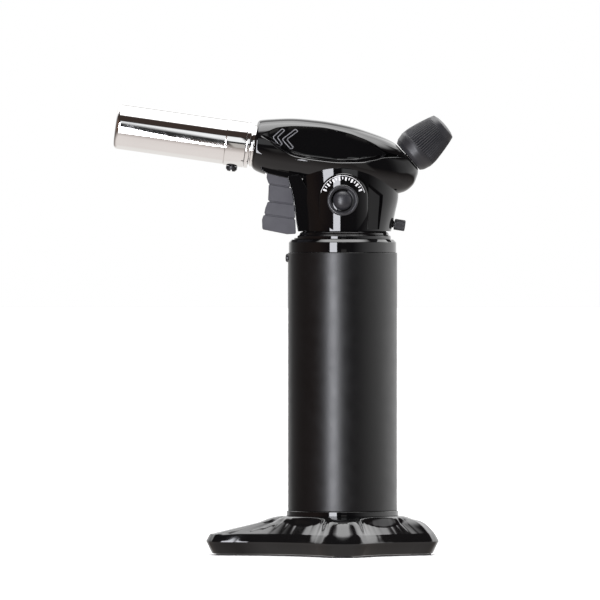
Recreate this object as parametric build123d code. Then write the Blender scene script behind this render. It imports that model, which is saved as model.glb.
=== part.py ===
"""Butane torch: gas tank body on a four-point stand, glossy head with a tilted flame tube,
piezo trigger, gas knob, side lock button and small air knob. Millimetres, +Z up,
-X towards the flame. Origin: the body axis at floor level."""
from build123d import *
import math
import os

# ---------------------------------------------------------------- driving dimensions
BODY_R = 24.0            # outside of the satin sleeve
SLEEVE_WALL = 0.9
STAND_TOP_Z = 17.3       # where the stand meets the end cap
SLEEVE_Z0 = 19.5
SLEEVE_Z1 = 132.9
COLLAR_R = 23.65
COLLAR_TOP_Z = 138.7
NECK_Z = 142.3           # underside of the head shells
SHELL_WALL = 2.0
TANK_WALL = 1.0

STAND_FRONT = 60.1       # reach of the tip under the flame
STAND_REAR = 42.5
STAND_SIDE = 44.5
STAND_LOW_Z = 0.6        # moulding underside, above the rubber feet
STAND_MID_Z = 6.0
STAND_RIM_Z = 9.4
ACCESS_R = 9.0           # opening to the refill valve
DECK_Z = 14.3            # underside of the deck that the tank is screwed to
FOOT_R = 4.5
FOOT_DEPTH = 1.2
STAND_SCREW_R = 16.0

TANK_Z0 = 21.5
TANK_Z1 = 127.5
REFILL_BODY_R = 4.5
REFILL_BORE_R = 1.6
OUTLET_R = 5.0
SPIGOT_R = BODY_R - SLEEVE_WALL - 0.05
SPIGOT_Z = 128.4         # lower end of the collar's spigot
SLEEVE_SCREW_Z = 130.6
SLEEVE_SCREW_R = 0.95

TUBE_TILT = 8.2          # flame tube above the horizontal, degrees
TUBE_SEAM = (-42.4, 0, 180.5)
TUBE_R = 10.0
TUBE_BAND_R = 10.25      # swaged rear end of the tube
TUBE_BAND_LEN = 9.0
TUBE_BORE_R = 9.4
TUBE_LEN = 57.9
LIP_R = 2.0

KNOB_TILT = 41.0         # gas knob axis above the horizontal, degrees
KNOB_RIDGE = (32.1, 0, 177.9)
KNOB_FLUTES = 36
AIR_TILT = -8.7
AIR_KNOB = (22.6, 0, 145.5)
AIR_KNOB_R = 2.45
AIR_KNOB_FLUTES = 16

PULL_TILT = -10.0        # the trigger slides rearward and slightly down
PULL_TRAVEL = 5.5
TRIGGER_HALF_W = 7.5
TRIGGER_SLOT_W = 7.8
PIEZO_FRONT = (-15.0, 0, 153.5)
PIEZO_R = 4.5
PLUNGER_R = 2.5

BUTTON_Z = 155.8
BUTTON_R = 4.3
PANEL_Y = -17.2          # face of the arched side panel
PANEL_R = 10.95
PANEL_X = 0.35
PANEL_Z = 156.8          # centre of the panel's arch
PANEL_CURVE_R = 23.0     # the panel's face bulges about an upright axis
PANEL_CURVE_X = 1.4
BEZEL_SEAT = 15.3        # the button's ring is let into the panel to this distance from the mid plane

RUN = 0.05               # running clearance on radius

os.makedirs("parts", exist_ok=True)


# ---------------------------------------------------------------- helpers
ON_BASE = (Align.CENTER, Align.CENTER, Align.MIN)


def save(name, shape):
    """Write one sub-part as its own STEP file."""
    export_step(shape, f"parts/{name}.step")


def tilted(point, tilt):
    """Frame at a point in the XZ plane whose z axis is tilted up from +X by tilt degrees."""
    a = math.radians(tilt)
    return Plane(origin=point, x_dir=(0, 1, 0), z_dir=(math.cos(a), 0, math.sin(a)))


def lathe(points, plane=Plane.XY):
    """Revolve a closed outline of (radius, height) about the z axis of a plane."""
    outline = make_face(Polyline(*[(r, 0, z) for r, z in points], close=True))
    return plane * revolve(outline, Axis.Z)


def disc(radius, z0, z1, plane=Plane.XY):
    return plane * Pos(0, 0, z0) * Cylinder(radius, z1 - z0, align=ON_BASE)


def ring(outer, inner, z0, z1, plane=Plane.XY):
    return disc(outer, z0, z1, plane) - disc(inner, z0, z1, plane)


def slab(outline, y0, y1):
    """Side outline of (x, z) points extruded across the width from y0 to y1."""
    wire = Polyline(*[(x, y0, z) for x, z in outline], close=True)
    return extrude(make_face(wire), amount=y1 - y0, dir=(0, 1, 0))


def rod(path, radius):
    """Round bar or pipe along a filleted path of (points, bend radius)."""
    points, bend = path
    line = FilletPolyline(*points, radius=bend) if bend else Polyline(*points)
    start = Plane(origin=line @ 0, z_dir=line % 0)
    return sweep(start * Circle(radius), path=line)


def coil(radius, wire, z0, z1, turns, plane=Plane.XY):
    """Compression spring between two seats on the z axis of a plane."""
    rise = z1 - z0 - 2 * wire
    helix = Pos(0, 0, z0 + wire) * Helix(pitch=rise / turns, height=rise, radius=radius)
    start = Plane(origin=helix @ 0, z_dir=helix % 0)
    return plane * sweep(start * Circle(wire), path=helix, is_frenet=True)


NOZZLE = tilted(TUBE_SEAM, 180 - TUBE_TILT)
KNOB = tilted(KNOB_RIDGE, KNOB_TILT)
AIR = tilted(AIR_KNOB, AIR_TILT)
PULL = tilted(PIEZO_FRONT, PULL_TILT)
PRESS = Plane(origin=(0, 0, BUTTON_Z), x_dir=(1, 0, 0), z_dir=(0, -1, 0))
PULL_DIR = (math.cos(math.radians(PULL_TILT)), 0, math.sin(math.radians(PULL_TILT)))


# ---------------------------------------------------------------- stand
# Nodes of the plan from the front tip round one flank: (x, y) and the outward direction there.
PLAN_NODES = [
    ((-STAND_FRONT, 0.0), (-1.0, 0.0)),
    ((-56.0, 12.5), (-0.85, 0.55)),
    ((-27.0, 19.5), (-0.55, 0.85)),
    ((-10.0, 38.0), (-0.85, 0.50)),
    ((0.0, STAND_SIDE), (0.0, 1.0)),
    ((10.0, 38.0), (0.85, 0.50)),
    ((22.0, 22.0), (0.60, 0.80)),
    ((38.5, 12.2), (0.85, 0.55)),
    ((STAND_REAR, 0.0), (1.0, 0.0)),
]


# The same nodes at the shoulder, where the tongues turn steeply down towards the rim.
SHOULDER_Z = 13.7
SHOULDER_NODES = [(-42.5, 0.0), (-39.0, 9.0), (-24.0, 15.5), (-11.0, 33.0), (0.0, 39.0), (11.0, 33.0),
                  (19.5, 18.5), (31.0, 9.0), (34.5, 0.0)]
FOOT_SPOTS = [(9 - STAND_FRONT, 0), (STAND_REAR - 8, 0), (0, STAND_SIDE - 8), (0, 8 - STAND_SIDE)]
STAND_SCREWS = [(STAND_SCREW_R * math.cos(math.radians(a)), STAND_SCREW_R * math.sin(math.radians(a)))
                for a in (45, 135, 225, 315)]


def plan_loop(flank):
    """Closed loop of arcs through the nodes of one flank and their mirror images."""
    other = [(x, -y) for x, y in reversed(flank[1:-1])]
    loop = flank + other
    count = len(loop)
    return [ThreePointArc(loop[i - 1], loop[i], loop[(i + 1) % count]) for i in range(0, count, 2)]


def star(inset):
    """Four-point plan of the stand with rounded tips and hollow flanks, shrunk by inset."""
    return plan_loop([(x - nx * inset, y - ny * inset) for (x, y), (nx, ny) in PLAN_NODES])


def star_face(inset, z):
    return Pos(0, 0, z) * make_face(Wire(star(inset)))


def hub_face(radius, z):
    """Circle cut into eight arcs, matching the edges of the star plan."""
    angles = [196, 164, 105, 75, 16, -16, -75, -105, -164]
    arcs = []
    for a, b in zip(angles, angles[1:]):
        turns = [math.radians(t) for t in (a, (a + b) / 2, b)]
        arcs.append(ThreePointArc(*[(radius * math.cos(t), radius * math.sin(t)) for t in turns]))
    return Pos(0, 0, z) * make_face(Wire(arcs))


def base_stand():
    """Moulded stand: sloping skirt, four tongues rising to the tank, hollow underneath."""
    skirt = loft([star_face(2.7, STAND_LOW_Z), star_face(0, STAND_MID_Z)], ruled=True)
    rim = loft([star_face(0, STAND_MID_Z), star_face(1.8, STAND_RIM_Z)], ruled=True)
    shoulder = Pos(0, 0, SHOULDER_Z) * make_face(Wire(plan_loop(SHOULDER_NODES)))
    slope = loft([star_face(1.8, STAND_RIM_Z), shoulder], ruled=True)
    top = loft([shoulder, hub_face(24.8, STAND_TOP_Z)], ruled=True)
    body = skirt + rim + slope + top
    body -= ring(21.5, ACCESS_R + 2.5, STAND_LOW_Z, DECK_Z)
    body -= disc(ACCESS_R, STAND_LOW_Z, STAND_TOP_Z)
    for x, y in FOOT_SPOTS:
        body -= Pos(x, y, 0) * disc(FOOT_R, STAND_LOW_Z, FOOT_DEPTH)
    for x, y in STAND_SCREWS:
        body -= Pos(x, y, 0) * disc(1.7, DECK_Z, STAND_TOP_Z)
    return body


def base_feet():
    """Four rubber pads let into the underside of the tips."""
    return [Pos(x, y, 0) * disc(FOOT_R, 0, FOOT_DEPTH) for x, y in FOOT_SPOTS]


def base_screws():
    """Four screws that hold the stand to the tank's end cap, heads inside the hollow."""
    outline = [(0, DECK_Z - 2), (2.8, DECK_Z - 2), (2.8, DECK_Z), (1.5, DECK_Z), (1.5, 19.8), (0, 19.8)]
    return [Pos(x, y, 0) * lathe(outline) for x, y in STAND_SCREWS]


# ---------------------------------------------------------------- tank and body
SCREW_FRAME = Plane(origin=(-BODY_R, 0, SLEEVE_SCREW_Z), x_dir=(0, 1, 0), z_dir=(-1, 0, 0))


def end_cap():
    """Glossy disc closing the foot of the sleeve, with a spigot inside it."""
    outline = [(8.2, STAND_TOP_Z), (24.6, STAND_TOP_Z), (24.6, SLEEVE_Z0), (SPIGOT_R, SLEEVE_Z0),
               (SPIGOT_R, TANK_Z0), (8.2, TANK_Z0)]
    cap = lathe(outline)
    for x, y in STAND_SCREWS:
        cap -= Pos(x, y, 0) * disc(1.5, STAND_TOP_Z, 19.8)
    return cap


def body_sleeve():
    """Satin metal tube round the tank."""
    sleeve = ring(BODY_R, BODY_R - SLEEVE_WALL, SLEEVE_Z0, SLEEVE_Z1)
    return sleeve - disc(SLEEVE_SCREW_R, -1.5, 0.5, SCREW_FRAME)


def fuel_tank():
    """Gas can with dished shoulders, open only at its two valves."""
    w = TANK_WALL
    r = BODY_R - SLEEVE_WALL - 0.1
    outer = lathe([(0, TANK_Z0), (r - 3, TANK_Z0), (r, TANK_Z0 + 3), (r, TANK_Z1 - 4), (r - 4, TANK_Z1),
                   (0, TANK_Z1)])
    inner = lathe([(0, TANK_Z0 + w), (r - 3.4, TANK_Z0 + w), (r - w, TANK_Z0 + 3.4),
                   (r - w, TANK_Z1 - 4.4), (r - 4.4, TANK_Z1 - w), (0, TANK_Z1 - w)])
    can = outer - inner - disc(REFILL_BODY_R, TANK_Z0, TANK_Z0 + w)
    return can - disc(OUTLET_R, TANK_Z1 - w, TANK_Z1)


def refill_valve():
    """Brass filling valve screwed into the tank floor; its nose faces down the access opening."""
    outline = [(2.3, 18.2), (4.0, 18.2), (4.0, 18.9), (7.6, 18.9), (7.6, 20.6), (REFILL_BODY_R, 20.6),
               (REFILL_BODY_R, 32.0), (REFILL_BORE_R, 32.0), (REFILL_BORE_R, 29.5), (3.2, 29.5),
               (3.2, 21.5), (2.3, 21.5)]
    return lathe(outline)


def refill_seal():
    """Rubber washer between the filling valve's flange and the tank floor."""
    return ring(7.4, REFILL_BODY_R + 0.02, 20.6, TANK_Z0)


def refill_stem():
    """Sprung poppet pushed up by the filling nozzle."""
    return lathe([(0.5, 17.9), (2.2, 17.9), (2.2, 21.55), (2.9, 21.55), (2.9, 23.2), (1.5, 23.2),
                  (1.5, 30.5), (0.5, 30.5)])


def refill_spring():
    """Closes the filling valve's poppet."""
    return coil(2.35, 0.3, 23.25, 29.45, 5)


def tank_outlet():
    """Brass outlet fitting at the crown of the tank, drilled from the wick to the supply pipe."""
    return lathe([(0.8, 119.0), (2.9, 119.0), (2.9, 123.0), (OUTLET_R, 123.0), (OUTLET_R, TANK_Z1 + 0.9),
                  (6.5, TANK_Z1 + 0.9), (6.5, 131.0), (3.5, 131.0), (3.5, 136.0), (0.8, 136.0)])


def outlet_gasket():
    """Rubber washer under the outlet's flange."""
    return ring(6.4, OUTLET_R + 0.02, TANK_Z1, TANK_Z1 + 0.9)


def dip_tube():
    """Pick-up tube from the outlet down towards the tank floor."""
    return ring(4.2, 2.95, 34.5, 121.5)


def upper_collar():
    """Glossy collar with a chamfered top and a spigot that the sleeve is pinned to."""
    body = lathe([(14.0, SPIGOT_Z), (SPIGOT_R, SPIGOT_Z), (SPIGOT_R, SLEEVE_Z1), (COLLAR_R, SLEEVE_Z1),
                  (COLLAR_R, COLLAR_TOP_Z - 1.3), (COLLAR_R - 1.3, COLLAR_TOP_Z), (14.0, COLLAR_TOP_Z)])
    return body - disc(SLEEVE_SCREW_R, -6.0, 0, SCREW_FRAME)


def sleeve_screw():
    """Small pan-head screw at the front of the sleeve."""
    r = SLEEVE_SCREW_R
    head = [(1.9, 0.05), (1.8, 0.6), (1.2, 1.0), (0, 1.1)]
    return lathe([(0, -5.0), (r, -5.0), (r, 0.05)] + head, SCREW_FRAME)


def neck_ring():
    """Stepped ring under the head, notched at the front where the trigger slides over it."""
    body = lathe([(14.0, COLLAR_TOP_Z), (21.3, COLLAR_TOP_Z), (21.3, 140.2), (20.6, 140.6), (19.9, NECK_Z),
                  (14.0, NECK_Z)])
    return body - Pos(-20, 0, 139.4) * Box(16, 2 * TRIGGER_SLOT_W, 6, align=ON_BASE)


# ---------------------------------------------------------------- head shells
# Cross-sections of the head from the flame end to the knob: crown (x, z), keel (x, z), half width.
HEAD_SECTIONS = [
    ((-37.4, 190.2), (-40.0, 170.9), 11.4),
    ((-36.6, 191.1), (-38.9, 169.3), 12.1),
    ((-32.0, 191.7), (-34.0, 167.4), 12.4),
    ((-23.0, 192.0), (-24.0, 165.2), 13.0),
    ((-10.8, 191.1), (-9.5, 162.8), 13.7),
    ((3.3, 188.5), (7.5, 160.2), 13.7),
    ((13.5, 185.3), (20.5, 158.5), 12.8),
    ((19.0, 183.2), (27.7, 160.1), 11.6),
    ((22.0, 181.6), (31.6, 163.4), 10.0),
    ((23.1, 181.0), (33.7, 169.2), 8.2),
]
# Neck cross-sections: height, front x, rear x, half width.
NECK_SECTIONS = [
    (NECK_Z, -18.0, 21.4, 17.0),
    (150.0, -18.5, 23.1, 16.0),
    (158.0, -20.2, 24.6, 14.6),
    (172.0, -20.6, 24.8, 12.6),
]


def half_ellipse(half_width, height, side):
    """Half of an ellipse on one side of the mid plane: side -1 is the left, +1 the right."""
    start = -90 if side > 0 else 90
    arc = EllipticalCenterArc((0, 0), half_width, height, start_angle=start, arc_size=180)
    return make_face(Wire([arc, Line(arc @ 1, arc @ 0)]))


def head_half(side, inset=0.0):
    """Half of the teardrop head, lofted through tilted ellipses, shrunk by inset."""
    faces = []
    for (tx, tz), (bx, bz), half in HEAD_SECTIONS:
        height = math.hypot(tx - bx, tz - bz) / 2
        normal = ((tz - bz) / (2 * height), 0, -(tx - bx) / (2 * height))
        centre = ((tx + bx) / 2, 0, (tz + bz) / 2)
        section = Plane(origin=centre, x_dir=(0, 1, 0), z_dir=normal)
        faces.append(section * half_ellipse(half - inset, height - inset, side))
    return loft(faces[1:-1] if inset else faces, ruled=True)


def neck_half(side, inset=0.0):
    """Half of the neck, a loft of upright ellipses, shrunk by inset."""
    faces = []
    for z, front, rear, half in NECK_SECTIONS:
        section = Plane(origin=((front + rear) / 2, 0, z), x_dir=(0, 1, 0), z_dir=(0, 0, 1))
        faces.append(section * half_ellipse(half - inset, (rear - front) / 2 - inset, side))
    return loft(faces, ruled=True)


def side_panel():
    """Arched boss on the left of the neck that carries the lock button."""
    arch = Pos(PANEL_X, 0, PANEL_Z) * Rot(90, 0, 0) * Circle(PANEL_R)
    foot = [(PANEL_X - PANEL_R, PANEL_Z), (PANEL_X - PANEL_R, NECK_Z), (PANEL_X + PANEL_R, NECK_Z),
            (PANEL_X + PANEL_R, PANEL_Z)]
    round_top = Pos(0, PANEL_Y, 0) * extrude(arch, amount=10, dir=(0, 1, 0))
    blank = round_top + slab(foot, PANEL_Y, PANEL_Y + 10)
    middle = Pos(PANEL_CURVE_X, PANEL_Y + PANEL_CURVE_R, PANEL_Z)
    return blank & middle * Rot(0, 0, 40) * Cylinder(PANEL_CURVE_R, 60)


# Trigger outline in side view, front edge from the top down, then back along the foot.
TRIGGER_FRONT = [(-33.0, 168.0), (-33.4, 165.8), (-32.5, 163.2), (-32.6, 159.0), (-33.0, 155.2),
                 (-33.9, 152.6), (-34.6, 150.0), (-35.4, 147.4), (-35.2, 143.1), (-24.4, 141.0)]
TRIGGER_REAR = [(-20.4, 141.2), (-20.6, 150.0), (-21.0, 154.8), (-22.2, 160.5), (-23.9, 165.6)]
TRIGGER_GROOVES = [((-31.9, 163.2), (-22.4, 161.5)), ((-31.9, 155.5), (-20.8, 153.7)),
                   ((-33.6, 149.6), (-20.6, 147.5))]


def travelled(point, distance):
    """A point of the side view moved along the trigger's slide."""
    return (point[0] + PULL_DIR[0] * distance, point[1] + PULL_DIR[2] * distance)


def trigger_slot():
    """Room the trigger sweeps as it is pulled, with free clearance all round."""
    far = PULL_TRAVEL + 1.0
    top = [(-36.0, 169.2), (-23.6, 166.3), travelled((-23.6, 166.3), far)]
    rear = [travelled(p, far) for p in reversed(TRIGGER_REAR[:-1])]
    foot = [travelled((-20.4, 140.6), far), (-24.4, 140.4), (-36.0, 142.6)]
    return slab(top + rear + foot, -TRIGGER_SLOT_W, TRIGGER_SLOT_W)


# Guides on both sides of the trigger slot, seen from the side: front edge from the foot up, then back.
SLOT_LIP = [(-19.6, NECK_Z), (-20.3, 146.0), (-20.8, 150.0), (-21.3, 154.8), (-22.5, 160.5), (-24.2, 166.0),
            (-19.0, 167.0), (-15.5, 160.0), (-14.5, 150.0), (-14.5, NECK_Z)]
SLOT_LIP_Y = (7.8, 9.8)


def slot_lip(side):
    """Guide flange along one side of the trigger slot."""
    near, far = sorted(side * y for y in SLOT_LIP_Y)
    return slab(SLOT_LIP, near, far)


CHEVRON_TIPS = [(-29.0, 182.4), (-24.2, 182.6)]
CHEVRON_ARM = 5.2


def chevron_cut(x, z):
    """One open V, pointing to the flame, cut into the left flank as a cooling vent."""
    arm = CHEVRON_ARM
    outline = [(x - 0.8, z), (x + arm, z + arm + 0.5), (x + arm + 1.7, z + arm + 0.2), (x + 1.4, z),
               (x + arm + 1.7, z - arm - 0.2), (x + arm, z - arm - 0.5)]
    return slab(outline, -16, 0)


HEAD_SCREWS = [(-14.0, 184.0), (13.0, 177.5), (16.0, 156.2), (-11.0, 145.6)]
HEAD_SCREW_R = 1.25
HEAD_SCREW_SEAT = 7.0    # distance of the screw heads' seats from the mid plane
POST_R = 3.2
POST_LEN = 9.0
SEAM_TURN = Rot(0, 0, 37)    # keeps drilled holes' seams off the mid plane


def head_shell(side):
    """One half of the head and neck housing: side -1 is the left, +1 the right."""
    body = head_half(side) - disc(5.05, -9.0, 2.0, KNOB * SEAM_TURN)
    body -= disc(8.55, -14.0, -2.0, NOZZLE) + disc(9.4, -3.8, -2.0, NOZZLE)
    body += neck_half(side)
    if side < 0:
        body += side_panel()
    body -= head_half(side, SHELL_WALL)
    body -= neck_half(side, SHELL_WALL)
    body += slot_lip(side)
    body -= trigger_slot()
    body -= disc(1.65, -9.0, 3.0, AIR * SEAM_TURN)
    for x, z in HEAD_SCREWS:
        body += Pos(x, side * POST_LEN / 2, z) * Rot(90, 0, 0) * Cylinder(POST_R, POST_LEN)
        across = Plane(origin=(x, 0, z), x_dir=(1, 0, 0), z_dir=(0, 1, 0))
        body -= disc(HEAD_SCREW_R + RUN, -HEAD_SCREW_SEAT, 20, across)
        if side > 0:
            body -= disc(2.3, HEAD_SCREW_SEAT, 20, across)
    if side < 0:
        body -= disc(5.55, -PANEL_Y - 12.0, -PANEL_Y + 1.0, PRESS)
        body -= disc(6.85, BEZEL_SEAT, -PANEL_Y + 1.0, PRESS)
        for x, z in CHEVRON_TIPS:
            body -= chevron_cut(x, z)
    return body


def head_screws():
    """Four screws through the right shell into the left one's posts."""
    screws = []
    for x, z in HEAD_SCREWS:
        across = Plane(origin=(x, 0, z), x_dir=(1, 0, 0), z_dir=(0, 1, 0))
        screw = disc(HEAD_SCREW_R, 0.1 - HEAD_SCREW_SEAT, HEAD_SCREW_SEAT, across)
        head = disc(2.2, HEAD_SCREW_SEAT, HEAD_SCREW_SEAT + 1.4, across)
        slot = across * Pos(0, 0, HEAD_SCREW_SEAT + 1.2) * Box(3.4, 0.6, 0.8)
        cross = across * Pos(0, 0, HEAD_SCREW_SEAT + 1.2) * Box(0.6, 3.4, 0.8)
        screws.append(screw + head - slot - cross)
    return screws


# ---------------------------------------------------------------- burner
SPARK = NOZZLE * Pos(7.0, 0, 0)
SPARK_HOLE = disc(0.95, -10.0, 12.0, SPARK)
UNDER = Plane(origin=(NOZZLE * Pos(0, 0, 4.9)).position, x_dir=(0, 1, 0),
              z_dir=(-math.sin(math.radians(TUBE_TILT)), 0, -math.cos(math.radians(TUBE_TILT))))
TUBE_SCREW_R = 1.3
TUBE_SCREW_HOLE = disc(TUBE_SCREW_R, 7.0, 12.0, UNDER)


def flame_tube():
    """Polished tube with a rolled-in lip at the mouth."""
    r, b, n, k = TUBE_R, TUBE_BORE_R, TUBE_LEN, LIP_R
    outer = [(TUBE_BAND_R, 0.0), (TUBE_BAND_R, TUBE_BAND_LEN), (r, TUBE_BAND_LEN), (r, n - k)]
    turns = [math.radians(t) for t in (30, 60, 90)]
    lip = [(r - k * (1 - math.cos(a)), n - k + k * math.sin(a)) for a in turns]
    inner = [(r - k, n - 0.7), (b, n - k - 0.7), (b, 0.0)]
    return lathe(outer + lip + inner, NOZZLE) - TUBE_SCREW_HOLE


def tube_screw():
    """Pan-head screw under the tube that clamps it to the burner seat."""
    shank = [(0, 7.6), (1.25, 7.6), (1.25, 10.35)]
    return lathe(shank + [(2.5, 10.35), (2.4, 11.7), (1.5, 12.4), (0, 12.6)], UNDER)


def tube_ring():
    """Plated ring against the rear of the tube."""
    return ring(TUBE_BAND_R, 7.0, -1.9, 0, NOZZLE) - SPARK_HOLE


def burner_seat():
    """Plated socket between head and tube, with a spigot inside each."""
    outline = [(5.0, -9.0), (8.5, -9.0), (8.5, -3.8), (9.3, -3.8), (9.3, -2.5), (8.6, -2.5), (8.6, -1.9),
               (6.95, -1.9), (6.95, 0.0), (9.35, 0.0), (9.35, 9.5), (7.6, 9.5), (7.6, 2.0), (5.0, 2.0)]
    return lathe(outline, NOZZLE) - TUBE_SCREW_HOLE - SPARK_HOLE


def mixing_tube():
    """Steel tube in which gas and air mix, with four air ports near the jet."""
    tube = ring(4.95, 4.35, -8.0, 30.0, NOZZLE)
    for turn in (0, 90):
        tube -= NOZZLE * Pos(0, 0, 6.0) * Rot(0, 0, turn) * Rot(90, 0, 0) * Cylinder(1.2, 20)
    return tube


def flame_holder():
    """Perforated steel cup at the end of the mixing tube."""
    cup = lathe([(4.98, 26.0), (5.9, 27.5), (5.9, 36.0), (0, 36.0), (0, 34.5), (5.2, 34.5), (5.2, 30.5),
                 (4.98, 30.5)], NOZZLE)
    for count, radius in ((1, 0.0), (6, 2.0), (12, 4.0)):
        for i in range(count):
            turn = Rot(0, 0, 360 * i / count)
            cup -= NOZZLE * turn * Pos(radius, 0, 33.0) * Cylinder(0.6, 8)
    return cup


def gas_jet():
    """Brass jet with a fine bore, held in the rear of the mixing tube."""
    return lathe([(0.3, -12.0), (2.4, -12.0), (2.4, -8.5), (4.3, -8.5), (4.3, -2.0), (2.0, 1.0),
                  (0.3, 1.0)], NOZZLE)


def insulator():
    """Ceramic sleeve that carries the spark electrode past the burner seat."""
    return ring(0.9, 0.45, -2.0, 33.0, SPARK)


def electrode():
    """Spark wire that ends beside the flame holder."""
    return disc(0.4, -3.0, 38.5, SPARK)


# ---------------------------------------------------------------- gas control
def valve_body():
    """Brass control valve behind the knob, drilled for the spindle."""
    outline = [(0, -24.0), (3.4, -24.0), (3.4, -20.0), (5.5, -20.0), (5.5, -9.2), (4.9, -9.2), (4.9, -4.9),
               (2.05, -4.9), (2.05, -16.0), (0, -16.0)]
    return lathe(outline, KNOB)


def knob_spindle():
    """Steel needle spindle turned by the knob."""
    return lathe([(0, -15.5), (2.0, -14.0), (2.0, 8.0), (0, 8.0)], KNOB)


def gas_knob():
    """Ribbed knob with a smooth skirt and a slightly domed end."""
    profile = [(2.02, -4.2), (7.7, -4.2), (9.5, 0.0), (9.45, 3.3), (8.9, 6.6), (7.25, 13.5), (6.2, 16.2),
               (3.0, 17.1), (0, 17.3), (0, 8.1), (2.02, 8.1)]
    knob = lathe(profile, KNOB)
    groove = Pos(9.75, 0, 1.2) * Rot(0, -7.5, 0) * Box(0.9, 0.45, 18, align=ON_BASE)
    for i in range(KNOB_FLUTES):
        knob -= KNOB * Rot(0, 0, 360 * i / KNOB_FLUTES) * groove
    return knob


# ---------------------------------------------------------------- trigger and igniter
def trigger():
    """Finger trigger with three grooves and a push block behind it."""
    body = slab(TRIGGER_FRONT + TRIGGER_REAR, -TRIGGER_HALF_W, TRIGGER_HALF_W)
    body = fillet(body.edges().filter_by(Axis.Y).group_by(Axis.X)[0], 0.4)
    for a, b in TRIGGER_GROOVES:
        line = [(a[0] - 3, a[1] + 0.72), (b[0], b[1] + 0.22), (b[0], b[1] - 0.22), (a[0] - 3, a[1] + 0.28)]
        for y0 in (-TRIGGER_HALF_W - 0.1, TRIGGER_HALF_W - 0.3):
            body -= slab(line, y0, y0 + 0.4)
    return body + PULL * Pos(0, 0, -6.2) * Box(9.0, 6.6, 6.2, align=ON_BASE)


def piezo_plunger():
    """Striker pushed into the igniter by the trigger."""
    return disc(PLUNGER_R, 0.0, 12.0, PULL)


def piezo_body():
    """Igniter cylinder with a bore for the plunger's whole travel."""
    return disc(PIEZO_R, 8.0, 30.0, PULL) - disc(PLUNGER_R + RUN, 8.0, 19.0, PULL)


def trigger_spring():
    """Return spring round the plunger, between the push block and the igniter."""
    return coil(3.4, 0.3, 0.05, 7.95, 3.5, PULL)


# ---------------------------------------------------------------- side button and air knob
def lock_bezel():
    """Ring and cup around the lock button."""
    outline = [(2.1, 8.8), (5.5, 8.8), (5.5, BEZEL_SEAT + 0.05), (6.8, BEZEL_SEAT + 0.05), (6.8, 18.0),
               (6.4, 18.4), (5.7, 18.4), (4.9, 17.6), (4.9, 10.0), (2.1, 10.0)]
    return lathe(outline, PRESS)


def lock_button():
    """Domed button with a guided stem."""
    dome = [(BUTTON_R, 17.4), (3.9, 18.5), (3.0, 19.2), (1.6, 19.7), (0, 19.8)]
    return lathe([(0, 8.0), (2.05, 8.0), (2.05, 14.5), (BUTTON_R, 14.5)] + dome, PRESS)


def button_spring():
    """Lifts the lock button out of its cup."""
    return coil(3.0, 0.25, 10.05, 14.45, 3.5, PRESS)


def air_knob():
    """Small ribbed knob at the rear of the neck."""
    knob = lathe([(1.0, 0.15), (AIR_KNOB_R, 0.15), (AIR_KNOB_R, 4.6), (2.2, 5.0), (0, 5.0), (0, 2.6),
                  (1.0, 2.6)], AIR)
    groove = Pos(AIR_KNOB_R + 0.05, 0, 2.8) * Box(0.4, 0.35, 6)
    for i in range(AIR_KNOB_FLUTES):
        knob -= AIR * Rot(0, 0, 360 * i / AIR_KNOB_FLUTES) * groove
    return knob


def air_spindle():
    """Pin that the air knob turns in the shell wall."""
    return disc(0.98, -5.0, 2.55, AIR)


def air_bush():
    """Bush in the rear of the neck for the air knob's pin."""
    return ring(1.6, 1.03, -4.0, 0.05, AIR)


# ---------------------------------------------------------------- pipes and lead
def supply_pipe():
    """Gas pipe from the tank outlet up to the control valve."""
    end = (KNOB * Pos(0, 0, -24.05)).position
    points = [(0, 0, 136.05), (0, 0, 139.5), (6.0, 8.6, 143.0), (7.0, 8.6, 158.0),
              (end.X - 3.0, 0, end.Z - 2.8), (end.X, 0, end.Z)]
    return rod((points, 1.6), 1.3)


def jet_pipe():
    """Gas pipe from the control valve forward to the jet."""
    end = (NOZZLE * Pos(0, 0, -12.05)).position
    points = [(12.0, 6.0, 172.0), (4.0, 4.0, 176.5), (-18.0, 0.5, 177.2), (end.X, end.Y, end.Z)]
    return rod((points, 2.0), 1.0)


def ignition_lead():
    """Insulated lead from the igniter to the electrode."""
    points = [(-4.0, 5.6, 156.0), (-6.0, 5.6, 166.0), (-22.0, 5.6, 173.5), (-32.0, 6.25, 178.9)]
    return rod((points, 2.0), 0.8)


def build_all():
    parts = {
        "base_stand": base_stand(), "base_feet": base_feet(), "base_screws": base_screws(),
        "end_cap": end_cap(), "body_sleeve": body_sleeve(), "fuel_tank": fuel_tank(),
        "refill_valve": refill_valve(), "refill_seal": refill_seal(), "refill_stem": refill_stem(),
        "refill_spring": refill_spring(), "tank_outlet": tank_outlet(), "outlet_gasket": outlet_gasket(),
        "dip_tube": dip_tube(), "upper_collar": upper_collar(), "sleeve_screw": sleeve_screw(),
        "neck_ring": neck_ring(), "head_shell_left": head_shell(-1), "head_shell_right": head_shell(1),
        "head_screws": head_screws(), "flame_tube": flame_tube(), "tube_screw": tube_screw(),
        "tube_ring": tube_ring(), "burner_seat": burner_seat(), "mixing_tube": mixing_tube(),
        "flame_holder": flame_holder(), "gas_jet": gas_jet(), "insulator": insulator(),
        "electrode": electrode(), "valve_body": valve_body(), "knob_spindle": knob_spindle(),
        "gas_knob": gas_knob(), "trigger": trigger(), "piezo_plunger": piezo_plunger(),
        "piezo_body": piezo_body(), "trigger_spring": trigger_spring(), "lock_bezel": lock_bezel(),
        "lock_button": lock_button(), "button_spring": button_spring(), "air_knob": air_knob(),
        "air_spindle": air_spindle(), "air_bush": air_bush(), "supply_pipe": supply_pipe(),
        "jet_pipe": jet_pipe(), "ignition_lead": ignition_lead(),
    }
    for name, shape in parts.items():
        save(name, Compound(children=shape) if isinstance(shape, list) else shape)


build_all()
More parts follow.
